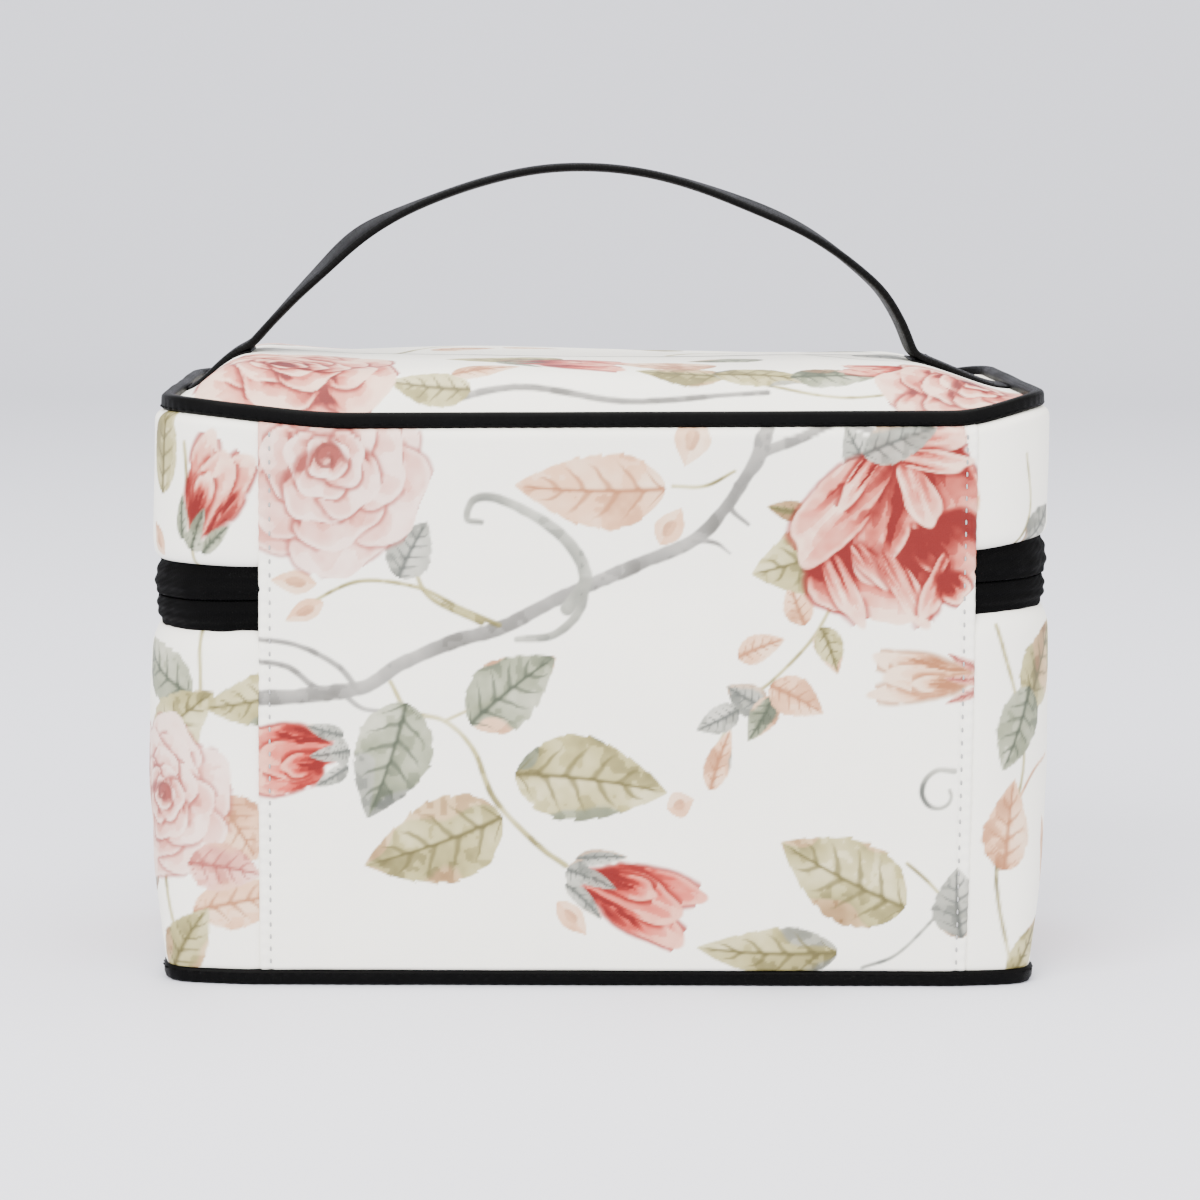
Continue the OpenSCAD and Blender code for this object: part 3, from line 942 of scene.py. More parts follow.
@dataclass
class Shell:
    """The soft outline of the case, which every sewn piece follows.

    The half width, half depth and heights come from the frame. The swell and the slouch are
    how the filled cloth stands out and leans.
    """

    half_w: float
    half_d: float
    low_edge: float
    high_edge: float
    wall_top: float
    hinge_z: float
    radius: float = 27.0
    tilt: float = 0.030
    lift_left: float = 4.2
    lift_right: float = 4.6
    crown: float = 1.6
    taller: float = 0.010

    @classmethod
    def of_frame(cls, joints: list[dict]) -> "Shell":
        """Reads the outline's sizes from the frame's nodes and joints."""
        low, high = node_box("lower_wall_wrap")
        up_low, up_high = node_box("upper_wall_wrap")
        hinge = next(j for j in joints if j["name"] == "lid_hinge")
        return cls(high.x, high.y, high.z, up_low.z, up_high.z, hinge["pos_m"][2] / MM)

    @property
    def flat_w(self) -> float:
        """Half of the straight stretch along the back."""
        return self.half_w - self.radius

    @property
    def flat_d(self) -> float:
        """Half of the straight stretch along a side."""
        return self.half_d - self.radius

    @property
    def around(self) -> float:
        """The whole way round."""
        return 4 * (self.flat_w + self.flat_d) + 2 * math.pi * self.radius

    def outline(self, s: np.ndarray, out: np.ndarray, z: np.ndarray = 100.0) -> tuple[np.ndarray, np.ndarray]:
        """The plan of the case, whose corners are squarer near the stiff base.

        Args:
            s: The way round from the middle of the back, towards +X.
            out: How far out of the nominal wall.
            z: The height.

        Returns:
            The x and y coordinates.
        """
        half = self.around / 2
        s = (np.asarray(s, float) + half) % self.around - half
        side, t = np.sign(s + 1e-12), np.abs(s)
        a, d, r = self.flat_w, self.flat_d, self.radius
        bend, long = math.pi / 2 * r, 2 * self.flat_d
        power = 2 + 2.8 * smooth(60, 0, z)
        turns = [np.clip((t - a) / r, 0, math.pi / 2), np.clip((t - a - bend - long) / r, 0, math.pi / 2)]
        reach = [r * (np.abs(np.sin(v)) ** power + np.abs(np.cos(v)) ** power) ** (-1 / power) + out
                 for v in turns]
        x = np.minimum(t, a) + reach[0] * np.sin(turns[0])
        y = -d - reach[0] * np.cos(turns[0]) + np.clip(t - a - bend, 0, long)
        late = t > a + bend + long
        x = np.where(late, a + reach[1] * np.cos(turns[1]) - np.clip(t - a - 2 * bend - long, 0, None), x)
        y = np.where(late, d + reach[1] * np.sin(turns[1]), y)
        return x * side, y

    def swell(self, s: np.ndarray, z: np.ndarray) -> np.ndarray:
        """How far the padded wall stands out of the nominal one."""
        heights = [0, 5, 14, 30, 55, 80, 94, 104, 112, 130, 156]
        swell = [-4.6, -4.1, -2.6, -0.2, 1.3, 1.5, 0.9, 0.2, 0.0, -0.1, -0.6]
        body = sum(np.interp(z + k, heights, swell) for k in (-4, 0, 4)) / 3
        x, y = self.outline(s, 0.0)
        body = np.where(body < 0, body * (0.3 + 0.7 * smooth(96, 122, np.abs(x))), body)
        belly = np.sin(math.pi * np.clip(z / self.hinge_z, 0, 1)) ** 0.8
        along_x, along_y = (np.cos(math.pi / 2 * np.clip(c / half, -1, 1)) ** 2
                            for c, half in ((x, self.half_w), (y, self.half_d)))
        face = np.where(np.abs(y) > self.flat_d + 1, along_x, along_y)
        face = np.where((np.abs(x) > self.flat_w) & (np.abs(y) > self.flat_d), 0.0, face)
        ripple = 0.35 * soft_noise(s, z, 26, 11) + 0.18 * soft_noise(s, z, 11, 12)
        calm = smooth(0, 12, np.abs(z - self.hinge_z)) * smooth(0, 6, z)
        return body + self.crown * face * belly + ripple * calm

    def slouch(self, x: np.ndarray, y: np.ndarray, z: np.ndarray) -> np.ndarray:
        """Leans and lifts points as the filled case does.

        Args:
            x: Along the width.
            y: Along the depth.
            z: The height.

        Returns:
            The points, one a row.
        """
        x, y, z = (np.asarray(c, float) for c in np.broadcast_arrays(x, y, z))
        bell = np.where(z < self.hinge_z, smooth(0, self.hinge_z, z), smooth(self.wall_top, self.hinge_z, z))
        front = smooth(self.half_d * 0.95, -self.half_d * 0.40, y)
        lift = self.lift_left * smooth(-70, -122, x) + self.lift_right * smooth(96, 126, x)
        high = (smooth(self.hinge_z, self.high_edge, z) + smooth(self.high_edge, self.wall_top, z)) / 2
        lean = self.tilt * x * bell * front
        return np.stack([x, y, z + lean + (lift + self.taller * x) * high], axis=-1)

    def place(self, s: np.ndarray, z: np.ndarray, n: np.ndarray) -> np.ndarray:
        """Points on or off the wall.

        Args:
            s: The way round.
            z: The height.
            n: How far out of the wall.

        Returns:
            The points, with the last axis x, y, z.
        """
        s, z, n = np.broadcast_arrays(np.asarray(s, float), np.asarray(z, float), np.asarray(n, float))
        x, y = self.outline(s, n + self.swell(s, z), z)
        return self.slouch(x, y, z)


@dataclass
class Loft:
    """A strip of cloth or padding that runs round the wall, from a cross-section of (z, n) points."""

    shell: Shell
    section: list[tuple[float, float]]
    start: float
    end: float
    step: float = 2.0
    closed_section: bool = False

    def build(self, name: str, painter: Callable | None = None,
              pucker: Callable | None = None) -> bpy.types.Object:
        """Makes the strip's mesh.

        Args:
            name: The piece's name.
            painter: A function that paints a Canvas, for printed cloth.
            pucker: A function of (s, z) that gives more n, such as for the pull of stitches.

        Returns:
            The new object.
        """
        z, n = (np.array(c, float) for c in zip(*self.section))
        whole = abs(self.end - self.start - self.shell.around) < 1e-6
        cols = max(3, round((self.end - self.start) / self.step)) + (0 if whole else 1)
        s = np.linspace(self.start, self.end, cols, endpoint=not whole)
        ss, zz = np.meshgrid(s, z)
        nn = np.repeat(n[:, None], cols, axis=1)
        if pucker is not None:
            nn = nn + pucker(ss, zz)
        points = self.shell.place(ss, zz, nn).reshape(-1, 3)
        run = np.concatenate([[0], np.cumsum(np.hypot(np.diff(z), np.diff(n)))]) + z[0]
        vv = np.repeat(run[:, None], cols, axis=1)
        faces = [grid_faces(len(z), cols, ring=whole, tube=self.closed_section)]
        if self.closed_section and not whole:
            faces.append(np.arange(len(z))[None, :] * cols)
            faces.append(np.arange(len(z))[None, ::-1] * cols + cols - 1)
        rgb = None
        if painter is not None:
            canvas = Canvas(ss, zz)
            painter(canvas)
            rgb = canvas.linear()
        return make_mesh(name, points, faces, flat_of(ss, vv), rgb)


def arc(centre: tuple[float, float], radius: float, start: float, end: float, count: int) -> list:
    """Points on an arc of a cross-section, in (z, n).

    Args:
        centre: The arc's centre as (z, n).
        radius: Its radius.
        start: The angle it starts at, in degrees, 0 pointing up and 90 pointing out.
        end: The angle it ends at.
        count: How many points.

    Returns:
        The points.
    """
    angles = np.radians(np.linspace(start, end, count))
    return [(centre[0] + radius * math.cos(a), centre[1] + radius * math.sin(a)) for a in angles]


def densify(section: list, step: float) -> list:
    """The same cross-section with more points, so that no two lie much more than step apart."""
    full = []
    for (z, n), (z_next, n_next) in zip(section, section[1:]):
        parts = max(1, round(math.hypot(z_next - z, n_next - n) / step))
        full += [(z + (z_next - z) * k / parts, n + (n_next - n) * k / parts) for k in range(parts)]
    return full + section[-1:]


def rounded_loop(z0: float, z1: float, n0: float, n1: float, radius: float, per_side: int = 3) -> list:
    """A closed cross-section: a box from (z0, n0) to (z1, n1) with round corners."""
    loop = []
    for cz, cn, start in ((z1 - radius, n1 - radius, 90), (z1 - radius, n0 + radius, 0),
                          (z0 + radius, n0 + radius, -90), (z0 + radius, n1 - radius, -180)):
        loop += arc((cz, cn), radius, start, start - 90, per_side)
    return densify(loop + loop[:1], 5.0)[:-1]


def threads(name: str, middles: np.ndarray, along: np.ndarray, out: np.ndarray, length: float,
            radius: float) -> bpy.types.Object:
    """A row of stitches, each a short thread with round ends that dips into the cloth.

    Args:
        name: The piece's name.
        middles: The middle of each stitch.
        along: The direction of each stitch.
        out: The cloth's outward direction at each stitch.
        length: The length of a stitch.
        radius: Half of the thread's thickness.

    Returns:
        The new object.
    """
    along = unit(along)
    across = unit(np.cross(along, out))
    up = np.cross(across, along)
    t = np.linspace(-1, 1, 7)
    thick = radius * np.sqrt(np.clip(1 - np.abs(t) ** 4, 0.02, 1))
    sag = -1.1 * radius * np.abs(t) ** 3
    angle = np.linspace(0, 2 * math.pi, 6, endpoint=False)
    points = (middles[:, None, None, :]
              + (t * length / 2)[None, :, None, None] * along[:, None, None, :]
              + sag[None, :, None, None] * up[:, None, None, :]
              + (thick[:, None] * np.cos(angle))[None, :, :, None] * across[:, None, None, :]
              + (thick[:, None] * np.sin(angle))[None, :, :, None] * up[:, None, None, :])
    count, rows, cols = points.shape[:3]
    faces = grid_faces(rows, cols, ring=True)
    shift = (np.arange(count) * rows * cols)[:, None, None]
    body = (faces[None] + shift).reshape(-1, 4)
    cap = np.arange(cols)[None, None, ::-1] + shift
    end = np.arange(cols)[None, None, :] + (rows - 1) * cols + shift
    flat = np.zeros((count, rows, cols, 3))
    flat[..., 0] = (t * length / 2)[None, :, None] + 5 * np.arange(count)[:, None, None]
    flat[..., 1] = (angle * radius)[None, None, :]
    return make_mesh(name, points.reshape(-1, 3), [body, cap.reshape(-1, cols), end.reshape(-1, cols)],
                     flat.reshape(-1, 3))


def border(rows: int, cols: int) -> np.ndarray:
    """The point numbers round the edge of a grid, in order."""
    first = np.arange(cols)
    right = np.arange(1, rows) * cols + cols - 1
    last = (rows - 1) * cols + np.arange(cols - 2, -1, -1)
    left = np.arange(rows - 2, 0, -1) * cols
    return np.concatenate([first, right, last, left])


def slab(name: str, x: np.ndarray, y: np.ndarray, top: np.ndarray, low: np.ndarray,
         painter: Callable | None = None) -> bpy.types.Object:
    """A closed sheet between two grids of points.

    Args:
        name: The piece's name.
        x: The grid's x, which is also its place on the cloth.
        y: The grid's y.
        top: The upper points, with the last axis x, y, z.
        low: The lower points.
        painter: A function that paints a Canvas, for printed cloth.

    Returns:
        The new object.
    """
    rows, cols = x.shape
    upper, ring = grid_faces(rows, cols), border(rows, cols)
    after = np.roll(ring, -1)
    skirt = np.stack([ring, after, after + x.size, ring + x.size], axis=1)
    faces = [np.concatenate([upper, upper[:, ::-1] + x.size, skirt[:, ::-1]])]
    xx, yy = np.concatenate([x.ravel()] * 2), np.concatenate([y.ravel()] * 2)
    rgb = None
    if painter:
        canvas = Canvas(xx, yy, 9)
        painter(canvas)
        rgb = canvas.linear()
    points = np.concatenate([top.reshape(-1, 3), low.reshape(-1, 3)])
    return make_mesh(name, points, faces, flat_of(xx, yy), rgb)


@dataclass
class Sewn:
    """What each sub-assembly shares: its shell, and how a piece gets its finish and body."""

    shell: Shell

    def keep(self, piece: bpy.types.Object, finish: Finish, body: str | None,
             *nodes: str) -> bpy.types.Object:
        """Dresses a piece, puts it on its body and hides the nodes that it stands for.

        Args:
            piece: The piece.
            finish: Its finish.
            body: The body that it rides on, or None to leave it on no body.
            nodes: The nodes that it replaces.

        Returns:
            The piece.
        """
        finish.dress(piece)
        if body:
            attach(piece, body)
        if nodes:
            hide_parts(*nodes)
        LOG.info("%s: %d faces", piece.name, len(piece.data.polygons))
        return piece


@dataclass
class Walls(Sewn):
    """The printed walls, their foam and the one-piece back panel across the hinge."""

    seam: float = 98.8
    shift: float = 4.0
    foam_out: float = -1.6
    foam_in: float = -4.6
    fold: float = 7.0
    pitch: float = 3.6

    def side_pucker(self, s: np.ndarray, z: np.ndarray) -> np.ndarray:
        """The dent of the wall beside the back panel's seams."""
        half = self.shell.around / 2
        reach = np.abs((s - self.shift + half) % self.shell.around - half) - self.seam
        return -0.9 * np.exp(-np.clip(reach, 0, None) / 1.3)

    def paint_wall(self, c: Canvas) -> None:
        """The print on the strip that runs round the sides and the front."""
        around = self.shell.around
        paint_twigs(c, 114)
        paint_side(c, around - 114, 0, -1)
        paint_side(c, 184, -22, -1)
        paint_end(c, 206, 1)
        paint_side(c, around - 186, -16, 1)
        paint_end(c, around - 208, -1)
        paint_spray(c, around / 2, 0)

    def wall(self, name: str, section: list, body: str, *nodes: str) -> bpy.types.Object:
        """One printed wall strip, from seam to seam round the front."""
        start, end = self.shift + self.seam - 1.0, self.shift + self.shell.around - self.seam + 1.0
        loft = Loft(self.shell, densify(section, 0.55), start, end, PRINT_STEP)
        piece = self.keep(loft.build(name, self.paint_wall, self.side_pucker), PRINTED, body, *nodes)
        return piece

    def lower(self) -> None:
        """The wall of the base: tucked under the bottom binding, and turned in at the zip."""
        top = self.shell.low_edge
        rows = list(np.arange(5.2, top - 7.0, 0.65))
        section = [(2.6, -2.6), (3.6, -1.0), (4.4, -0.3), *[(z, 0.0) for z in rows]]
        section += [(top - 6.2, -0.05), (top - 5.2, -0.15), (top - 4.2, -0.35), (top - 3.2, -0.6),
                    (top - 2.2, -0.95), (top - 1.2, -1.4), (top - 0.4, -1.95)]
        section += [(top + 0.1, -2.4), (top - 0.4, -2.8), (top - 2, -2.9), (top - 6, -2.9)]
        self.wall("lower_wall", section, "base", "lower_wall_wrap")

    def upper(self) -> None:
        """The wall of the lid: turned in at the zip, and tucked under the top binding."""
        low, top = self.shell.high_edge, self.shell.wall_top
        section = [(low + 6, -2.9), (low + 2, -2.9), (low + 0.3, -2.7), (low - 0.2, -2.2), (low + 0.1, -1.6),
                   (low + 0.8, -0.95), (low + 1.6, -0.5), (low + 2.6, -0.2), (low + 3.6, -0.05)]
        section += [(z, 0.0) for z in np.arange(low + 4.5, top - 2.6, 0.65)]
        section += [(top - 2.2, -0.1), (top - 1.3, -0.5), (top - 0.5, -1.3), (top + 0.1, -2.5),
                    (top + 0.4, -3.8)]
        self.wall("upper_wall", section, "lid", "upper_wall_wrap")

    def back(self) -> None:
        """The one-piece back panel with its turned edges, from the base up to the lid."""
        edge = self.seam + 0.6
        across = np.concatenate([[-edge + 2.5, -edge - 0.1, -edge - 0.35, -edge],
                                 np.linspace(-edge + 0.5, edge - 0.5, 420),
                                 [edge, edge + 0.35, edge + 0.1, edge - 2.5]])
        rise = np.concatenate([[-1.4, -1.1, -0.4, 0.15], np.full(420, 0.55), [0.15, -0.4, -1.1, -1.4]])
        top = self.shell.wall_top
        up = np.concatenate([[3.0, 3.8, 4.6], np.arange(5.2, top - 2.4, 0.5),
                             [top - 1.7, top - 0.9, top - 0.2, top + 0.4]])
        tuck = np.concatenate([[-3.0, -1.4, -0.6], np.zeros(len(up) - 7), [-0.2, -0.7, -1.7, -3.4]])
        ss, zz = np.meshgrid(across, up)
        dip = 0.42 * np.exp(-((np.abs(ss) - self.seam + 2.2) / 0.75) ** 2)
        dip = dip * (0.55 + 0.45 * np.abs(np.cos(math.pi * (zz - 4.4) / self.pitch)))
        near = np.exp(-np.clip(self.seam - np.abs(ss), 0, None) / 3.0)
        pull = 0.14 * np.sin(2 * math.pi * (zz - 4.4) / self.pitch) * near
        nn = rise[None, :] + tuck[:, None] - dip + pull
        points = self.shell.place(ss + self.shift, zz, nn).reshape(-1, 3)
        canvas = Canvas(ss, zz)
        paint_spray(canvas, 0, 0)
        piece = make_mesh("back_panel", points, [grid_faces(*ss.shape)], flat_of(ss, zz), canvas.linear())
        self.keep(piece, PRINTED, None, "lower_back_panel", "upper_back_panel")
        self.bend(piece)

    def bend(self, piece: bpy.types.Object) -> None:
        """Bakes the transform of a piece of the back into its mesh."""
        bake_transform(piece)

    def stitches(self) -> None:
        """The two rows of top stitching on the back panel."""
        z = np.tile(np.arange(7.0, self.shell.wall_top - 2, self.pitch), 2)
        s = self.shift + np.repeat([-1, 1], len(z) // 2) * (self.seam - 2.2)
        middles = self.shell.place(s, z, 0.42)
        along = self.shell.place(s, z + 1, 0.42) - middles
        out = np.tile([0.0, -1.0, 0.0], (len(middles), 1))
        piece = threads("back_seam_stitches", middles, along, out, 1.5, 0.27)
        self.keep(piece, THREAD, None, "lower_back_stitches", "upper_back_stitches")
        self.bend(piece)

    def padding(self) -> None:
        """The foam sheets inside the walls."""
        shell = self.shell
        spans = {"lower": (6.0, shell.low_edge - 8, "base"),
                 "upper": (shell.high_edge + 8, shell.wall_top - 1.5, "lid")}
        for name, (low, high, body) in spans.items():
            section = rounded_loop(low, high, self.foam_in, self.foam_out, 0.8)
            for part, start, end, node in (("wall", self.seam + 1, shell.around - self.seam - 1, "wall_foam"),
                                           ("back", -self.seam + 1, self.seam - 1, "back_foam")):
                loft = Loft(shell, section, start, end, 4.0, closed_section=True)
                piece = self.keep(loft.build(f"{name}_{part}_padding"), FOAM, body, f"{name}_{node}")

    def build(self) -> None:
        """Makes every wall piece."""
        self.lower()
        self.upper()
        self.back()
        self.stitches()
        self.padding()


@dataclass
class Lid(Sewn):
    """The domed top panel with its padding."""

    rim_in: float = 4.1
    seam_up: float = 1.8

    def inset(self, x: np.ndarray, y: np.ndarray) -> np.ndarray:
        """How far in from the rim's inner edge a place lies."""
        a, d = self.shell.half_w - self.rim_in, self.shell.half_d - self.rim_in
        r = self.shell.radius - self.rim_in
        dx, dy = np.abs(x) - (a - r), np.abs(y) - (d - r)
        outside = np.hypot(np.clip(dx, 0, None), np.clip(dy, 0, None))
        return r - outside - np.minimum(np.maximum(dx, dy), 0)

    def dome(self, x: np.ndarray, y: np.ndarray) -> np.ndarray:
        """How high the lid stands above its seam: a ramp of padding, then a gentle crown."""
        edge = self.inset(x, y)
        near = edge * (1 - 0.36 * smooth(20, 100, x))
        steps = [-1, 0, 3, 6, 10, 14, 18, 24, 40]
        rises = [0, 0, 0.7, 2.4, 5.6, 8.5, 10.2, 11.0, 11.4]
        ramp = sum(np.interp(near + k, steps, rises) for k in (-1.6, 0, 1.6)) / 3
        crown = (2.5 * (1 - (y / 71) ** 2) + 1.3 * np.exp(-((x + 36) / 48) ** 2)) * smooth(2, 24, near)
        ripple = 0.5 * soft_noise(x, y, 34, 21) + 0.2 * soft_noise(x, y, 13, 22)
        return ramp + crown + ripple * smooth(2, 14, edge)

    def top(self, x: np.ndarray, y: np.ndarray, out: float = 0.0) -> np.ndarray:
        """Points on the lid's top, or above it by out."""
        z = self.shell.wall_top + self.seam_up + self.dome(x, y) + out
        return self.shell.slouch(x, y, z)

    def sheet(self, step: float, grow: float = 0.0,
              radius: float | None = None) -> tuple[np.ndarray, np.ndarray]:
        """A grid over the rounded rectangle of the lid, in x and y.

        Args:
            step: The spacing of its points.
            grow: How much wider than the rim's inner edge.
            radius: The corners' radius, where it isn't the lid's own.

        Returns:
            The x and y of its points.
        """
        a = self.shell.half_w - self.rim_in + grow
        d = self.shell.half_d - self.rim_in + grow
        r = radius or self.shell.radius - self.rim_in + grow
        rows = round(2 * d / step)
        t = np.linspace(-1, 1, rows + 1)
        y = d * np.sin(t * math.pi / 2) * 0.25 + d * t * 0.75
        reach = a - r + np.sqrt(np.clip(r * r - np.clip(np.abs(y) - (d - r), 0, None) ** 2, 0, None))
        u = np.linspace(-1, 1, round(2 * a / step) + 1)
        return reach[:, None] * u[None, :], np.repeat(y[:, None], len(u), axis=1)

    def paint(self, c: Canvas) -> None:
        """The print on the lid."""
        lid = Motif(c)
        lid.stems(
            (2.2, 1.6, BARK, (-118, 10), (-80, 2), (-40, -8), (0, -14), (45, -4), (85, 8), (118, 22)),
            (1.6, 0.8, OLIVE, (-60, -4), (-50, 20), (-36, 40)),
            (1.6, 0.9, OLIVE, (20, -8), (40, 14), (66, 26), (90, 44)),
            (1.6, 0.9, MIST, (60, 0), (80, -16), (110, -20)))
        lid.shapes(
            c.leaf, (-52, 44, 32, 17, 10, OLIVE), (12, 34, 30, 14, 170, OLIVE),
            (46, 40, 30, 14, -6, OLIVE, MIST),
            (72, 24, 26, 15, 12, SAGE), (86, -2, 24, 14, -30, MIST), (-28, -30, 34, 18, 178, OLIVE),
            (-40, 14, 22, 12, 30, PEACH), (-20, 20, 18, 9, -14, PEACH), (18, -38, 30, 16, 184, PEACH),
            (36, -22, 24, 12, -160, SAGE), (-100, 36, 26, 14, 120, MIST))
        lid.shapes(c.drop, (66, 40, 16, 7, 6, PEACH), (104, 30, 12, 6, 200, PEACH))
        lid.shapes(c.bud, (-6, 54, 34, 18, -4, RED), (88, 46, 26, 13, 170, RED))
        lid.stems(
            (2.2, 1.6, BARK, (-46, -62), (-22, -58), (8, -62), (46, -58)),
            (1.1, 0.8, OLIVE, (38, -54), (70, -58), (104, -48)))
        lid.shapes(
            c.leaf, (-49, -57, 24, 12, 172, OLIVE), (-33, -50, 20, 9, 16, PEACH),
            (22, -50, 26, 12, 176, OLIVE),
            (45, -51, 28, 12, -6, OLIVE, MIST), (66, -49, 26, 12, 8, SAGE))
        lid.shapes(c.bud, (80, -42, 24, 12, 172, RED), (-10, -40, 34, 16, -6, RED))
        c.rose((-87, -44), 31, 160, CORAL, 1.8)
        c.rose((104, -50), 26, 60, CORAL, 1.5)
        c.rose((-96, 52), 22, 10, BLUSH, 0.8)

    def cover(self) -> None:
        """The printed top panel."""
        x, y = self.sheet(PRINT_STEP)
        canvas = Canvas(x, y, 5)
        self.paint(canvas)
        points = self.top(x, y).reshape(-1, 3)
        piece = make_mesh("top_cover", points, [grid_faces(*x.shape)], flat_of(x, y), canvas.linear())
        self.keep(piece, PRINTED, "lid", "top_panel")

    def pad(self, name: str, node: str, finish: Finish, down: float, thick: float,
            grow: float) -> bpy.types.Object:
        """A closed sheet that follows the dome from below.

        Args:
            name: The piece's name.
            node: The node that it replaces.
            finish: Its finish.
            down: How far below the top panel it starts.
            thick: Its thickness.
            grow: How much wider than the rim's inner edge it is.

        Returns:
            The piece.
        """
        x, y = self.sheet(4.0, grow)
        low = self.top(x * 0.99, y * 0.99, -down - thick)
        return self.keep(slab(name, x, y, self.top(x, y, -down), low), finish, "lid", node)

    def build(self) -> None:
        """Makes the top panel and its foam."""
        self.cover()
        self.pad("top_padding", "top_foam", FOAM, 1.2, 3.2, -2.0)


@dataclass
class Bindings(Sewn):
    """The black tapes that bind the top and the bottom edge, with their stitching."""

    pitch: float = 3.4

    def tape(self, name: str, node: str, body: str, low: float, high: float, out: float,
             inner: float) -> None:
        """One binding: a folded tape with a ridge along each stitched edge.

        Args:
            name: The piece's name.
            node: The node that it replaces.
            body: The body that it rides on.
            low: Its lower edge.
            high: Its upper edge.
            out: Its outer face, as n.
            inner: Its inner face, as n.
        """
        section = rounded_loop(low, high, inner, out, 1.25, 4)

        def pull(s: np.ndarray, z: np.ndarray) -> np.ndarray:
            """The small waves that the stitches pull into the tape."""
            waves = 0.12 * np.sin(2 * math.pi * s / self.pitch) * smooth(0, 1, (high - z) / (high - low))
            return waves + 0.22 * soft_noise(s, z, 19, 31)
        loft = Loft(self.shell, section, 0.0, self.shell.around, 0.85, closed_section=True)
        self.keep(loft.build(name, None, pull), BINDING, body, node)

    def build(self) -> None:
        """Makes both bindings and their stitches."""
        top = self.shell.wall_top
        self.tape("top_edge_binding", "top_binding", "lid", top - 0.1, top + 4.5, -1.6, -5.6)
        self.tape("bottom_edge_binding", "bottom_binding", "base", 0.05, 4.5, 0.9, -3.4)
        self.rows("top_binding_stitches", "lid", top + 0.9, -1.48)
        self.rows("bottom_binding_stitches", "base", 3.5, 1.02)

    def rows(self, name: str, body: str, z: float, n: float) -> None:
        """One row of black stitches right round a binding."""
        count = int(self.shell.around / self.pitch)
        s = (np.arange(count) + 0.5) * self.shell.around / count
        middles = self.shell.place(s, z, n)
        along = self.shell.place(s + 1, z, n) - middles
        out = self.shell.place(s, z, n + 1) - middles
        self.keep(threads(name, middles, along, out, 2.2, 0.22), DARK_THREAD, body)


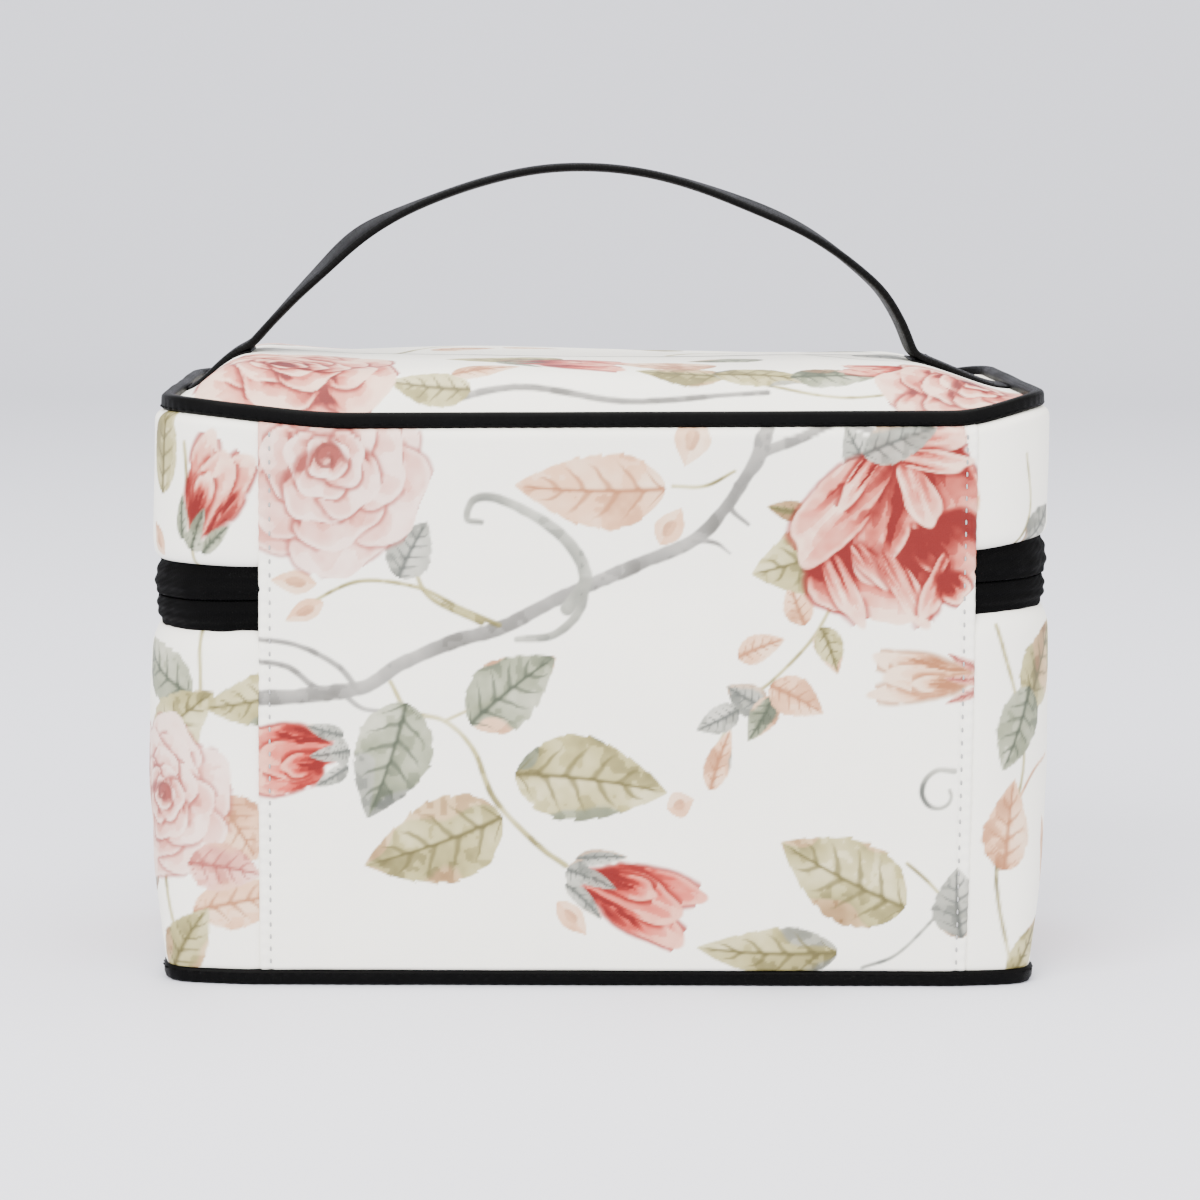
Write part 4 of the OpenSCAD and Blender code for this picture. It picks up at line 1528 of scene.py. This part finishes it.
@dataclass
class Zip(Sewn):
    """The zip: two tapes, two coils, and the sliders that the frame holds."""

    tape_n: float = -2.3
    tape_t: float = 0.8
    tucked: float = 90.0
    pitch: float = 1.25

    def tape(self, name: str, profile: list[tuple[float, float]], body: str, node: str) -> None:
        """One tape, whose ribs and soft folds run along it.

        Args:
            name: The piece's name.
            profile: The heights and outward places that its outer face runs through.
            body: The body that it rides on.
            node: The node that it replaces.
        """
        line = spline(np.array(profile), 7)
        ribs = 0.24 * np.sin(line[:, 0] * 2.2)
        outer = [(z, n + r) for (z, n), r in zip(line, ribs)]
        inner = [(z, n - self.tape_t) for z, n in line[::-1]]

        def wave(s: np.ndarray, z: np.ndarray) -> np.ndarray:
            """Shallow waves along the tape, none at the front where the sliders run."""
            x, y = self.shell.outline(s, 0.0)
            back = smooth(self.shell.half_d - 2, self.shell.half_d - 20, y)
            return back * (0.5 + 0.45 * soft_noise(s, z, 9, 41) + 0.2 * soft_noise(s, z, 3.5, 42))
        start, end = self.tucked, self.shell.around - self.tucked
        loft = Loft(self.shell, outer + inner, start, end, 1.2, closed_section=True)
        self.keep(loft.build(name, None, wave), ZIP_TAPE, body, node)

    def coil(self, name: str, z: float, lean: int, body: str, node: str) -> None:
        """One coil: a nylon thread wound into flat turns along the tape's edge.

        Args:
            name: The piece's name.
            z: The height of its middle.
            lean: 1 if it opens upwards, -1 if downwards.
            body: The body that it rides on.
            node: The node that it replaces.
        """
        start, end = self.tucked, self.shell.around - self.tucked
        turns = int((end - start) / self.pitch)
        per_turn, sides = 10, 5
        t = np.linspace(0, turns, turns * per_turn + 1)
        s = start + t * self.pitch
        angle = 2 * math.pi * t
        high = z + lean * 1.05 * np.cos(angle)
        out = self.tape_n - 1.9 + 0.7 * np.sin(angle)
        line = self.shell.place(s, high, out)
        along = unit(np.gradient(line, axis=0))
        side = unit(np.cross(along, [0.0, 0.0, 1.0]))
        up = np.cross(side, along)
        ring = np.linspace(0, 2 * math.pi, sides, endpoint=False)
        points = (line[:, None] + 0.33 * (np.cos(ring)[None, :, None] * side[:, None]
                                          + np.sin(ring)[None, :, None] * up[:, None]))
        faces = [grid_faces(len(line), sides, ring=True)]
        flat = flat_of(np.repeat(s[:, None], sides, 1), np.repeat(ring[None] * 0.3, len(s), 0))
        self.keep(make_mesh(name, points.reshape(-1, 3), faces, flat), ZIP_COIL, body, node)

    def metal(self, nodes: dict[str, bpy.types.Object]) -> None:
        """Gives the frame's sliders and pull tabs their finish and their soft edges.

        Args:
            nodes: The frame's nodes by name.
        """
        for name in ("zip_slider_left", "zip_puller_left", "zip_slider_right", "zip_puller_right"):
            node = nodes[name]
            METAL.dress(node)
            edge = node.modifiers.new("SoftEdge", "BEVEL")
            edge.width = 0.25 * MM
            edge.segments = 2
            edge.limit_method = "ANGLE"
            LOG.info("%s: kept from the frame", name)

    def build(self, nodes: dict[str, bpy.types.Object]) -> None:
        """Makes the tapes and coils, and finishes the sliders.

        Args:
            nodes: The frame's nodes by name.
        """
        shell = self.shell
        middle = shell.hinge_z
        low, high, n = shell.low_edge, shell.high_edge, self.tape_n
        self.tape("lower_tape", [(low - 5, n - 1.2), (low - 1.5, n - 1.1), (low + 1.0, n),
                                 (low + 3.4, n + 0.9), (middle - 2.2, n + 1.0),
                                 (middle - 0.9, n + 0.7), (middle - 0.3, n + 0.1)],
                  "base", "lower_zip_tape")
        self.tape("upper_tape", [(middle + 0.15, n + 0.2), (middle + 0.5, n + 0.9), (middle + 1.6, n + 1.3),
                                 (middle + 3.6, n + 1.4), (high - 2.6, n + 0.7), (high - 0.6, n - 0.2),
                                 (high + 1.5, n - 1.1), (high + 5, n - 1.2)],
                  "lid", "upper_zip_tape")
        self.coil("lower_coil", middle - 1.2, 1, "base", "lower_zip_coil")
        self.coil("upper_coil", middle + 1.2, -1, "lid", "upper_zip_coil")
        self.metal(nodes)


@dataclass
class Handle(Sewn):
    """The flat strap that arches over the lid, and its two sewn ends."""

    lid: Lid
    width: float = 22.0
    thick: float = 2.5
    hem: float = 2.0
    bend_over: float = 20.0
    left: float = -102.5
    right: float = 93.0
    arch: tuple[tuple[float, float], ...] = (
        (-95, 0.17), (-84, 0.385), (-69, 0.64), (-47, 0.835), (-24, 0.965), (-4, 1.0), (16, 0.96),
        (38, 0.84), (61, 0.655), (80, 0.395), (88, 0.20))

    @property
    def top_z(self) -> float:
        """The height of the strap's middle line at the top of its arch."""
        return node_box("handle_strap")[1].z - 0.6

    def route(self) -> np.ndarray:
        """The strap's middle line, from the left rim over the arch to the right rim."""
        feet = [self.lid.top(np.array([x]), np.array([0.0]), 2.0)[0, 2] for x in (self.left, self.right)]
        low, rise = (feet[0] + feet[1]) / 2, self.top_z - (feet[0] + feet[1]) / 2
        arch = [(self.left, 0.0, feet[0])]
        for x, share in self.arch:
            arch.append((x, 0.0, low + rise * share))
        arch.append((self.right, 0.0, feet[1]))
        arch = spline(np.array(arch), 8)
        tails = []
        for side, foot in ((-1, self.left), (1, self.right)):
            out = side * np.linspace(abs(foot) + 3.0, self.shell.half_w - 5.5, 9)
            tails.append(self.lid.top(out, np.zeros(9), np.linspace(1.5, -0.7, 9)))
        line = np.concatenate([tails[0][::-1], arch, tails[1]])
        even = resample(line, 1.5)
        for _ in range(2):
            even[1:-1] = (even[:-2] + even[2:] + 2 * even[1:-1]) / 4
        return even

    def twist(self, x: np.ndarray) -> np.ndarray:
        """How far the strap is turned about its own line, in degrees."""
        return 9 * np.exp(-((x + 74) / 15) ** 2) + 5 * np.exp(-((x - 50) / 20) ** 2)

    def axes(self, line: np.ndarray, twist: np.ndarray) -> tuple[np.ndarray, np.ndarray, np.ndarray]:
        """The strap's own directions along a line.

        Args:
            line: The middle of the strap.
            twist: How far it is turned about its own line at each point, in degrees.

        Returns:
            The directions along it, across it and out of its upper face.
        """
        along = unit(np.gradient(line, axis=0))
        across = np.tile([0.0, 1.0, 0.0], (len(line), 1))
        up = np.cross(along, across)
        c, s = np.cos(np.radians(twist))[:, None], np.sin(np.radians(twist))[:, None]
        return along, across * c + up * s, up * c - across * s

    def ribbon(self, name: str, line: np.ndarray, width: float, thick: float,
               twist: np.ndarray) -> bpy.types.Object:
        """A flat strap along a line, with padded middle and thin stitched borders.

        Args:
            name: The piece's name.
            line: The middle of the strap.
            width: Its width.
            thick: Its thickness.
            twist: How far it is turned about its own line at each point, in degrees.

        Returns:
            The new object.
        """
        along, across, up = self.axes(line, twist)
        half = width / 2
        w = np.linspace(-half, half, 25)
        body = thick / 2 * (0.82 + 0.18 * smooth(half - 1.2, half - 3.4, np.abs(w)))
        body[[0, -1]] = thick * 0.24
        body[[1, -2]] *= 0.96
        loop = np.concatenate([np.stack([w, body], 1), np.stack([w[::-1], -body[::-1]], 1)])
        points = (line[:, None] + loop[None, :, :1] * across[:, None] + loop[None, :, 1:] * up[:, None])
        rows, cols = points.shape[:2]
        far = np.concatenate([[0], np.cumsum(np.linalg.norm(np.diff(line, axis=0), axis=1))])
        flat = flat_of(np.repeat(far[:, None], cols, 1), np.repeat(loop[None, :, 0], rows, 0))
        faces = [grid_faces(rows, cols, ring=True), np.arange(cols)[None, ::-1],
                 np.arange(cols)[None, :] + (rows - 1) * cols]
        return make_mesh(name, points.reshape(-1, 3), faces, flat)

    def strap(self) -> None:
        """The strap itself and its two rows of stitches."""
        line = self.route()
        piece = self.ribbon("strap", line, self.width, self.thick, self.twist(line[:, 0]))
        self.keep(piece, WEBBING, None, "handle_strap")
        self.bend(piece)
        for name, side in (("strap_stitches_near", -1), ("strap_stitches_far", 1)):
            row = resample(line, 3.0)[1:-1]
            along, across, up = self.axes(row, self.twist(row[:, 0]))
            middles = row + across * side * (self.width / 2 - self.hem) + up * 0.85
            made = self.keep(threads(name, middles, along, up, 2.1, 0.24), DARK_THREAD, None)
            self.bend(made)

    def bend(self, piece: bpy.types.Object) -> None:
        """Bakes the transform of a piece of the strap into its mesh."""
        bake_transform(piece)

    def anchors(self) -> None:
        """The flat ends under the strap's feet, each with two rows of stitches across it."""
        for name, side, inner in (("left", -1, abs(self.left) - 0.5), ("right", 1, self.right - 1.2)):
            x = np.linspace(inner, self.shell.half_w - 6.0, 24) * side
            line = self.lid.top(x, np.zeros(24), 0.1)
            if side < 0:
                line = line[::-1]
            piece = self.ribbon(f"strap_anchor_{name}", line, self.width + 0.6, 1.5, np.zeros(24))
            self.keep(piece, WEBBING, "lid", f"handle_end_{name}")
            self.cross_stitches(name, side)

    def cross_stitches(self, name: str, side: int) -> None:
        """Two rows of stitches across the strap's end."""
        middles = []
        foot = abs(self.left if side < 0 else self.right)
        for at in (foot + 5.0, foot + 14.0):
            up = np.interp(at, [foot + 3.0, self.shell.half_w - 5.5], [1.5, -0.7]) + self.thick / 2 - 0.1
            middles.append(self.lid.top(np.full(7, at * side), np.linspace(-7.8, 7.8, 7), up))
        middles = np.concatenate(middles)
        along = np.tile([0.0, 1.0, 0.0], (len(middles), 1))
        out = np.tile([0.0, 0.0, 1.0], (len(middles), 1))
        piece = threads(f"strap_end_stitches_{name}", middles, along, out, 2.1, 0.25)
        self.keep(piece, DARK_THREAD, "lid")

    def build(self) -> None:
        """Makes the strap, its ends and their stitches."""
        self.strap()
        self.anchors()


def resample(line: np.ndarray, step: float) -> np.ndarray:
    """The same line with evenly spaced points."""
    far = np.concatenate([[0], np.cumsum(np.linalg.norm(np.diff(line, axis=0), axis=1))])
    count = max(2, int(round(far[-1] / step)) + 1)
    even = np.linspace(0, far[-1], count)
    return np.stack([np.interp(even, far, line[:, k]) for k in range(3)], axis=1)


@dataclass
class Inside(Sewn):
    """The lining of the base and the lid, the floor's layers and the bottom panel."""

    narrow: float = 0.974
    depth: float = 5.1

    def linings(self, walls: Walls) -> None:
        """The lining walls, and the strip of lining that crosses the fold at the back.

        Args:
            walls: The walls, whose back panel the strip follows.
        """
        shell = self.shell
        low, high, top = shell.low_edge, shell.high_edge, shell.wall_top
        base = [(6.6, -6.2), (8.0, -5.4), (12, -5.1), *[(z, -5.1) for z in np.arange(17, low - 10, 5.0)],
                (low - 8, -5.1), (low - 4, -5.0), (low - 1, -4.8), (low + 1, -4.5)]
        lid = [(high - 1, -4.5), (high + 1, -4.8), (high + 4, -5.0), (high + 8, -5.1), (high + 14, -5.1),
               (high + 18, -5.1), (high + 22, -5.1), (high + 27, -5.1),
               (top - 6, -5.1), (top - 2.5, -5.4), (top - 1.2, -6.4), (top - 0.8, -8.5)]
        for name, section, body, node, pad in (
                ("base_lining_wall", base, "base", "base_lining", "lower_wall_padding"),
                ("lid_lining_wall", lid, "lid", "lid_lining", "upper_wall_padding")):
            loft = Loft(shell, section, 0.0, shell.around, 2.0)
            piece = self.keep(loft.build(name), LINING, body, node)
        hinge = [(z, -1.2) for z in np.arange(low - 3, high + 3.5, 0.8)]
        loft = Loft(shell, hinge, walls.shift - walls.seam + 0.3, walls.shift + walls.seam - 0.3, 2.0)
        strip = self.keep(loft.build("hinge_lining"), LINING, None)
        walls.bend(strip)

    def floor(self, lid: Lid) -> None:
        """The floor lining, the pad under it, and the bottom panel."""
        for name, node, finish, z, thick, grow, crown in (
                ("floor_lining", None, LINING, 6.5, 0.5, -1.6, 0.5),
                ("floor_padding", "base_pad", FOAM, 3.5, 2.6, -2.2, 0.3),
                ("bottom_cover", "bottom_panel", PRINTED, 0.35, 0.8, 0.4, 0.0)):
            x, y = lid.sheet(1.6 if finish is PRINTED else 3.0, grow, 12.0)
            x = x * self.narrow
            rise = crown * smooth(0, 30, lid.inset(x, y)) + 0.12 * soft_noise(x, y, 20, 51)
            top, low = np.stack([x, y, z + thick + rise], -1), np.stack([x, y, z + rise * 0.5], -1)
            painter = self.paint_bottom if finish is PRINTED else None
            nodes = (node,) if node else ()
            piece = self.keep(slab(name, x, y, top, low, painter), finish, "base", *nodes)
            if finish is FOAM:
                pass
            elif finish is LINING:
                self.laid(piece, x, y, "floor_padding")

    def paint_bottom(self, c: Canvas) -> None:
        """The print on the underside."""
        paint_spray(c, 0, -78)

    def laid(self, piece: bpy.types.Object, x: np.ndarray, y: np.ndarray, under: str) -> None:
        """Takes a flat sheet of lining and the plan that x and y span, and does nothing with them."""

    def build(self, lid: Lid, walls: Walls, board: bpy.types.Object) -> None:
        """Makes the linings and the floor, and finishes the board.

        Args:
            lid: The lid, whose plan the flat pieces share.
            walls: The walls, whose back panel the lining follows.
            board: The frame's stiffener board.
        """
        self.linings(walls)
        roof = lid.pad("lid_lining_roof", "lid_lining", LINING, 5.0, 0.5, -1.4)
        self.laid(roof, *lid.sheet(4.0, -1.4), "top_padding")
        self.floor(lid)
        BOARD.dress(board)


# ---------------------------------------------------------------- stage


@dataclass
class Stage:
    """The pale floor and backdrop, the soft lights and the camera."""

    yaw: float = 1.5
    pitch: float = 7.29
    roll: float = 0.5
    eye_height: float = 237.8
    distance: float = 1075.0
    aside: float = 1.0
    lens: float = 108.8

    def camera(self) -> None:
        """Sets the camera a little to the left of the back and above the lid."""
        data = bpy.data.cameras.new("Camera")
        data.lens = self.lens
        data.sensor_width = 36.0
        data.clip_end = 50.0
        cam = bpy.data.objects.new("Camera", data)
        a = math.radians(self.yaw)
        x = self.aside * math.cos(a) - self.distance * math.sin(a)
        y = -self.aside * math.sin(a) - self.distance * math.cos(a)
        cam.location = (x * MM, y * MM, self.eye_height * MM)
        aim = Euler((math.radians(90 - self.pitch), 0, -a), "XYZ")
        cam.rotation_euler = (aim.to_matrix() @ Euler((0, 0, math.radians(self.roll))).to_matrix()).to_euler()
        bpy.context.scene.collection.objects.link(cam)
        bpy.context.scene.camera = cam

    def lamp(self, name: str, place: tuple[float, float, float], size: float, power: float) -> None:
        """One soft area light that looks at the case."""
        data = bpy.data.lights.new(name, "AREA")
        data.energy = power
        data.size = size
        data.color = (1.0, 0.985, 0.97)
        lamp = bpy.data.objects.new(name, data)
        lamp.location = place
        lamp.rotation_euler = (Vector((0, 0, 0.09)) - Vector(place)).to_track_quat("-Z", "Y").to_euler()
        bpy.context.scene.collection.objects.link(lamp)

    def floor(self) -> None:
        """The floor, which sweeps up into the backdrop."""
        far, high, bend = 2.2, 3.0, 0.8
        curve = [(-4.0, 0.0), *[(far + bend * math.sin(t), bend * (1 - math.cos(t)))
                                for t in np.linspace(0, math.pi / 2, 12)], (far + bend, high)]
        points = np.array([[x, y, z] for y, z in curve for x in (-5.0, 5.0)]) / MM
        sweep = make_mesh("Sweep", points, [grid_faces(len(curve), 2)])
        pale = bpy.data.materials.new("PaleSweep")
        pale.use_nodes = True
        shader = pale.node_tree.nodes["Principled BSDF"]
        shader.inputs["Base Color"].default_value = (0.72, 0.73, 0.80, 1.0)
        shader.inputs["Roughness"].default_value = 0.6
        sweep.data.materials.append(pale)

    def build(self) -> None:
        """Makes the whole stage."""
        self.camera()
        self.floor()
        self.lamp("Key", (-1.1, -1.7, 1.6), 1.6, 104.0)
        self.lamp("Fill", (1.6, -1.5, 0.9), 1.8, 40.0)
        self.lamp("Top", (0.1, 0.2, 2.0), 1.8, 58.0)
        world = bpy.data.worlds.new("World")
        world.use_nodes = True
        world.node_tree.nodes["Background"].inputs[0].default_value = (1.0, 0.99, 0.97, 1.0)
        world.node_tree.nodes["Background"].inputs[1].default_value = 1.35
        bpy.context.scene.world = world


def main() -> None:
    """Loads the frame and builds the case round it, one sub-assembly after another."""
    logging.basicConfig(level=logging.INFO, format="%(name)s %(message)s")
    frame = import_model()
    nodes = frame["nodes"]
    build_weave()
    build_grain()
    build_smudge()
    Stage().build()
    shell = Shell.of_frame(frame["joints"])
    walls = Walls(shell)
    lid = Lid(shell)
    walls.build()
    lid.build()
    Bindings(shell).build()
    Zip(shell).build(nodes)
    Handle(shell, lid).build()
    Inside(shell).build(lid, walls, nodes["base_board"])


if __name__ == "__main__":
    main()
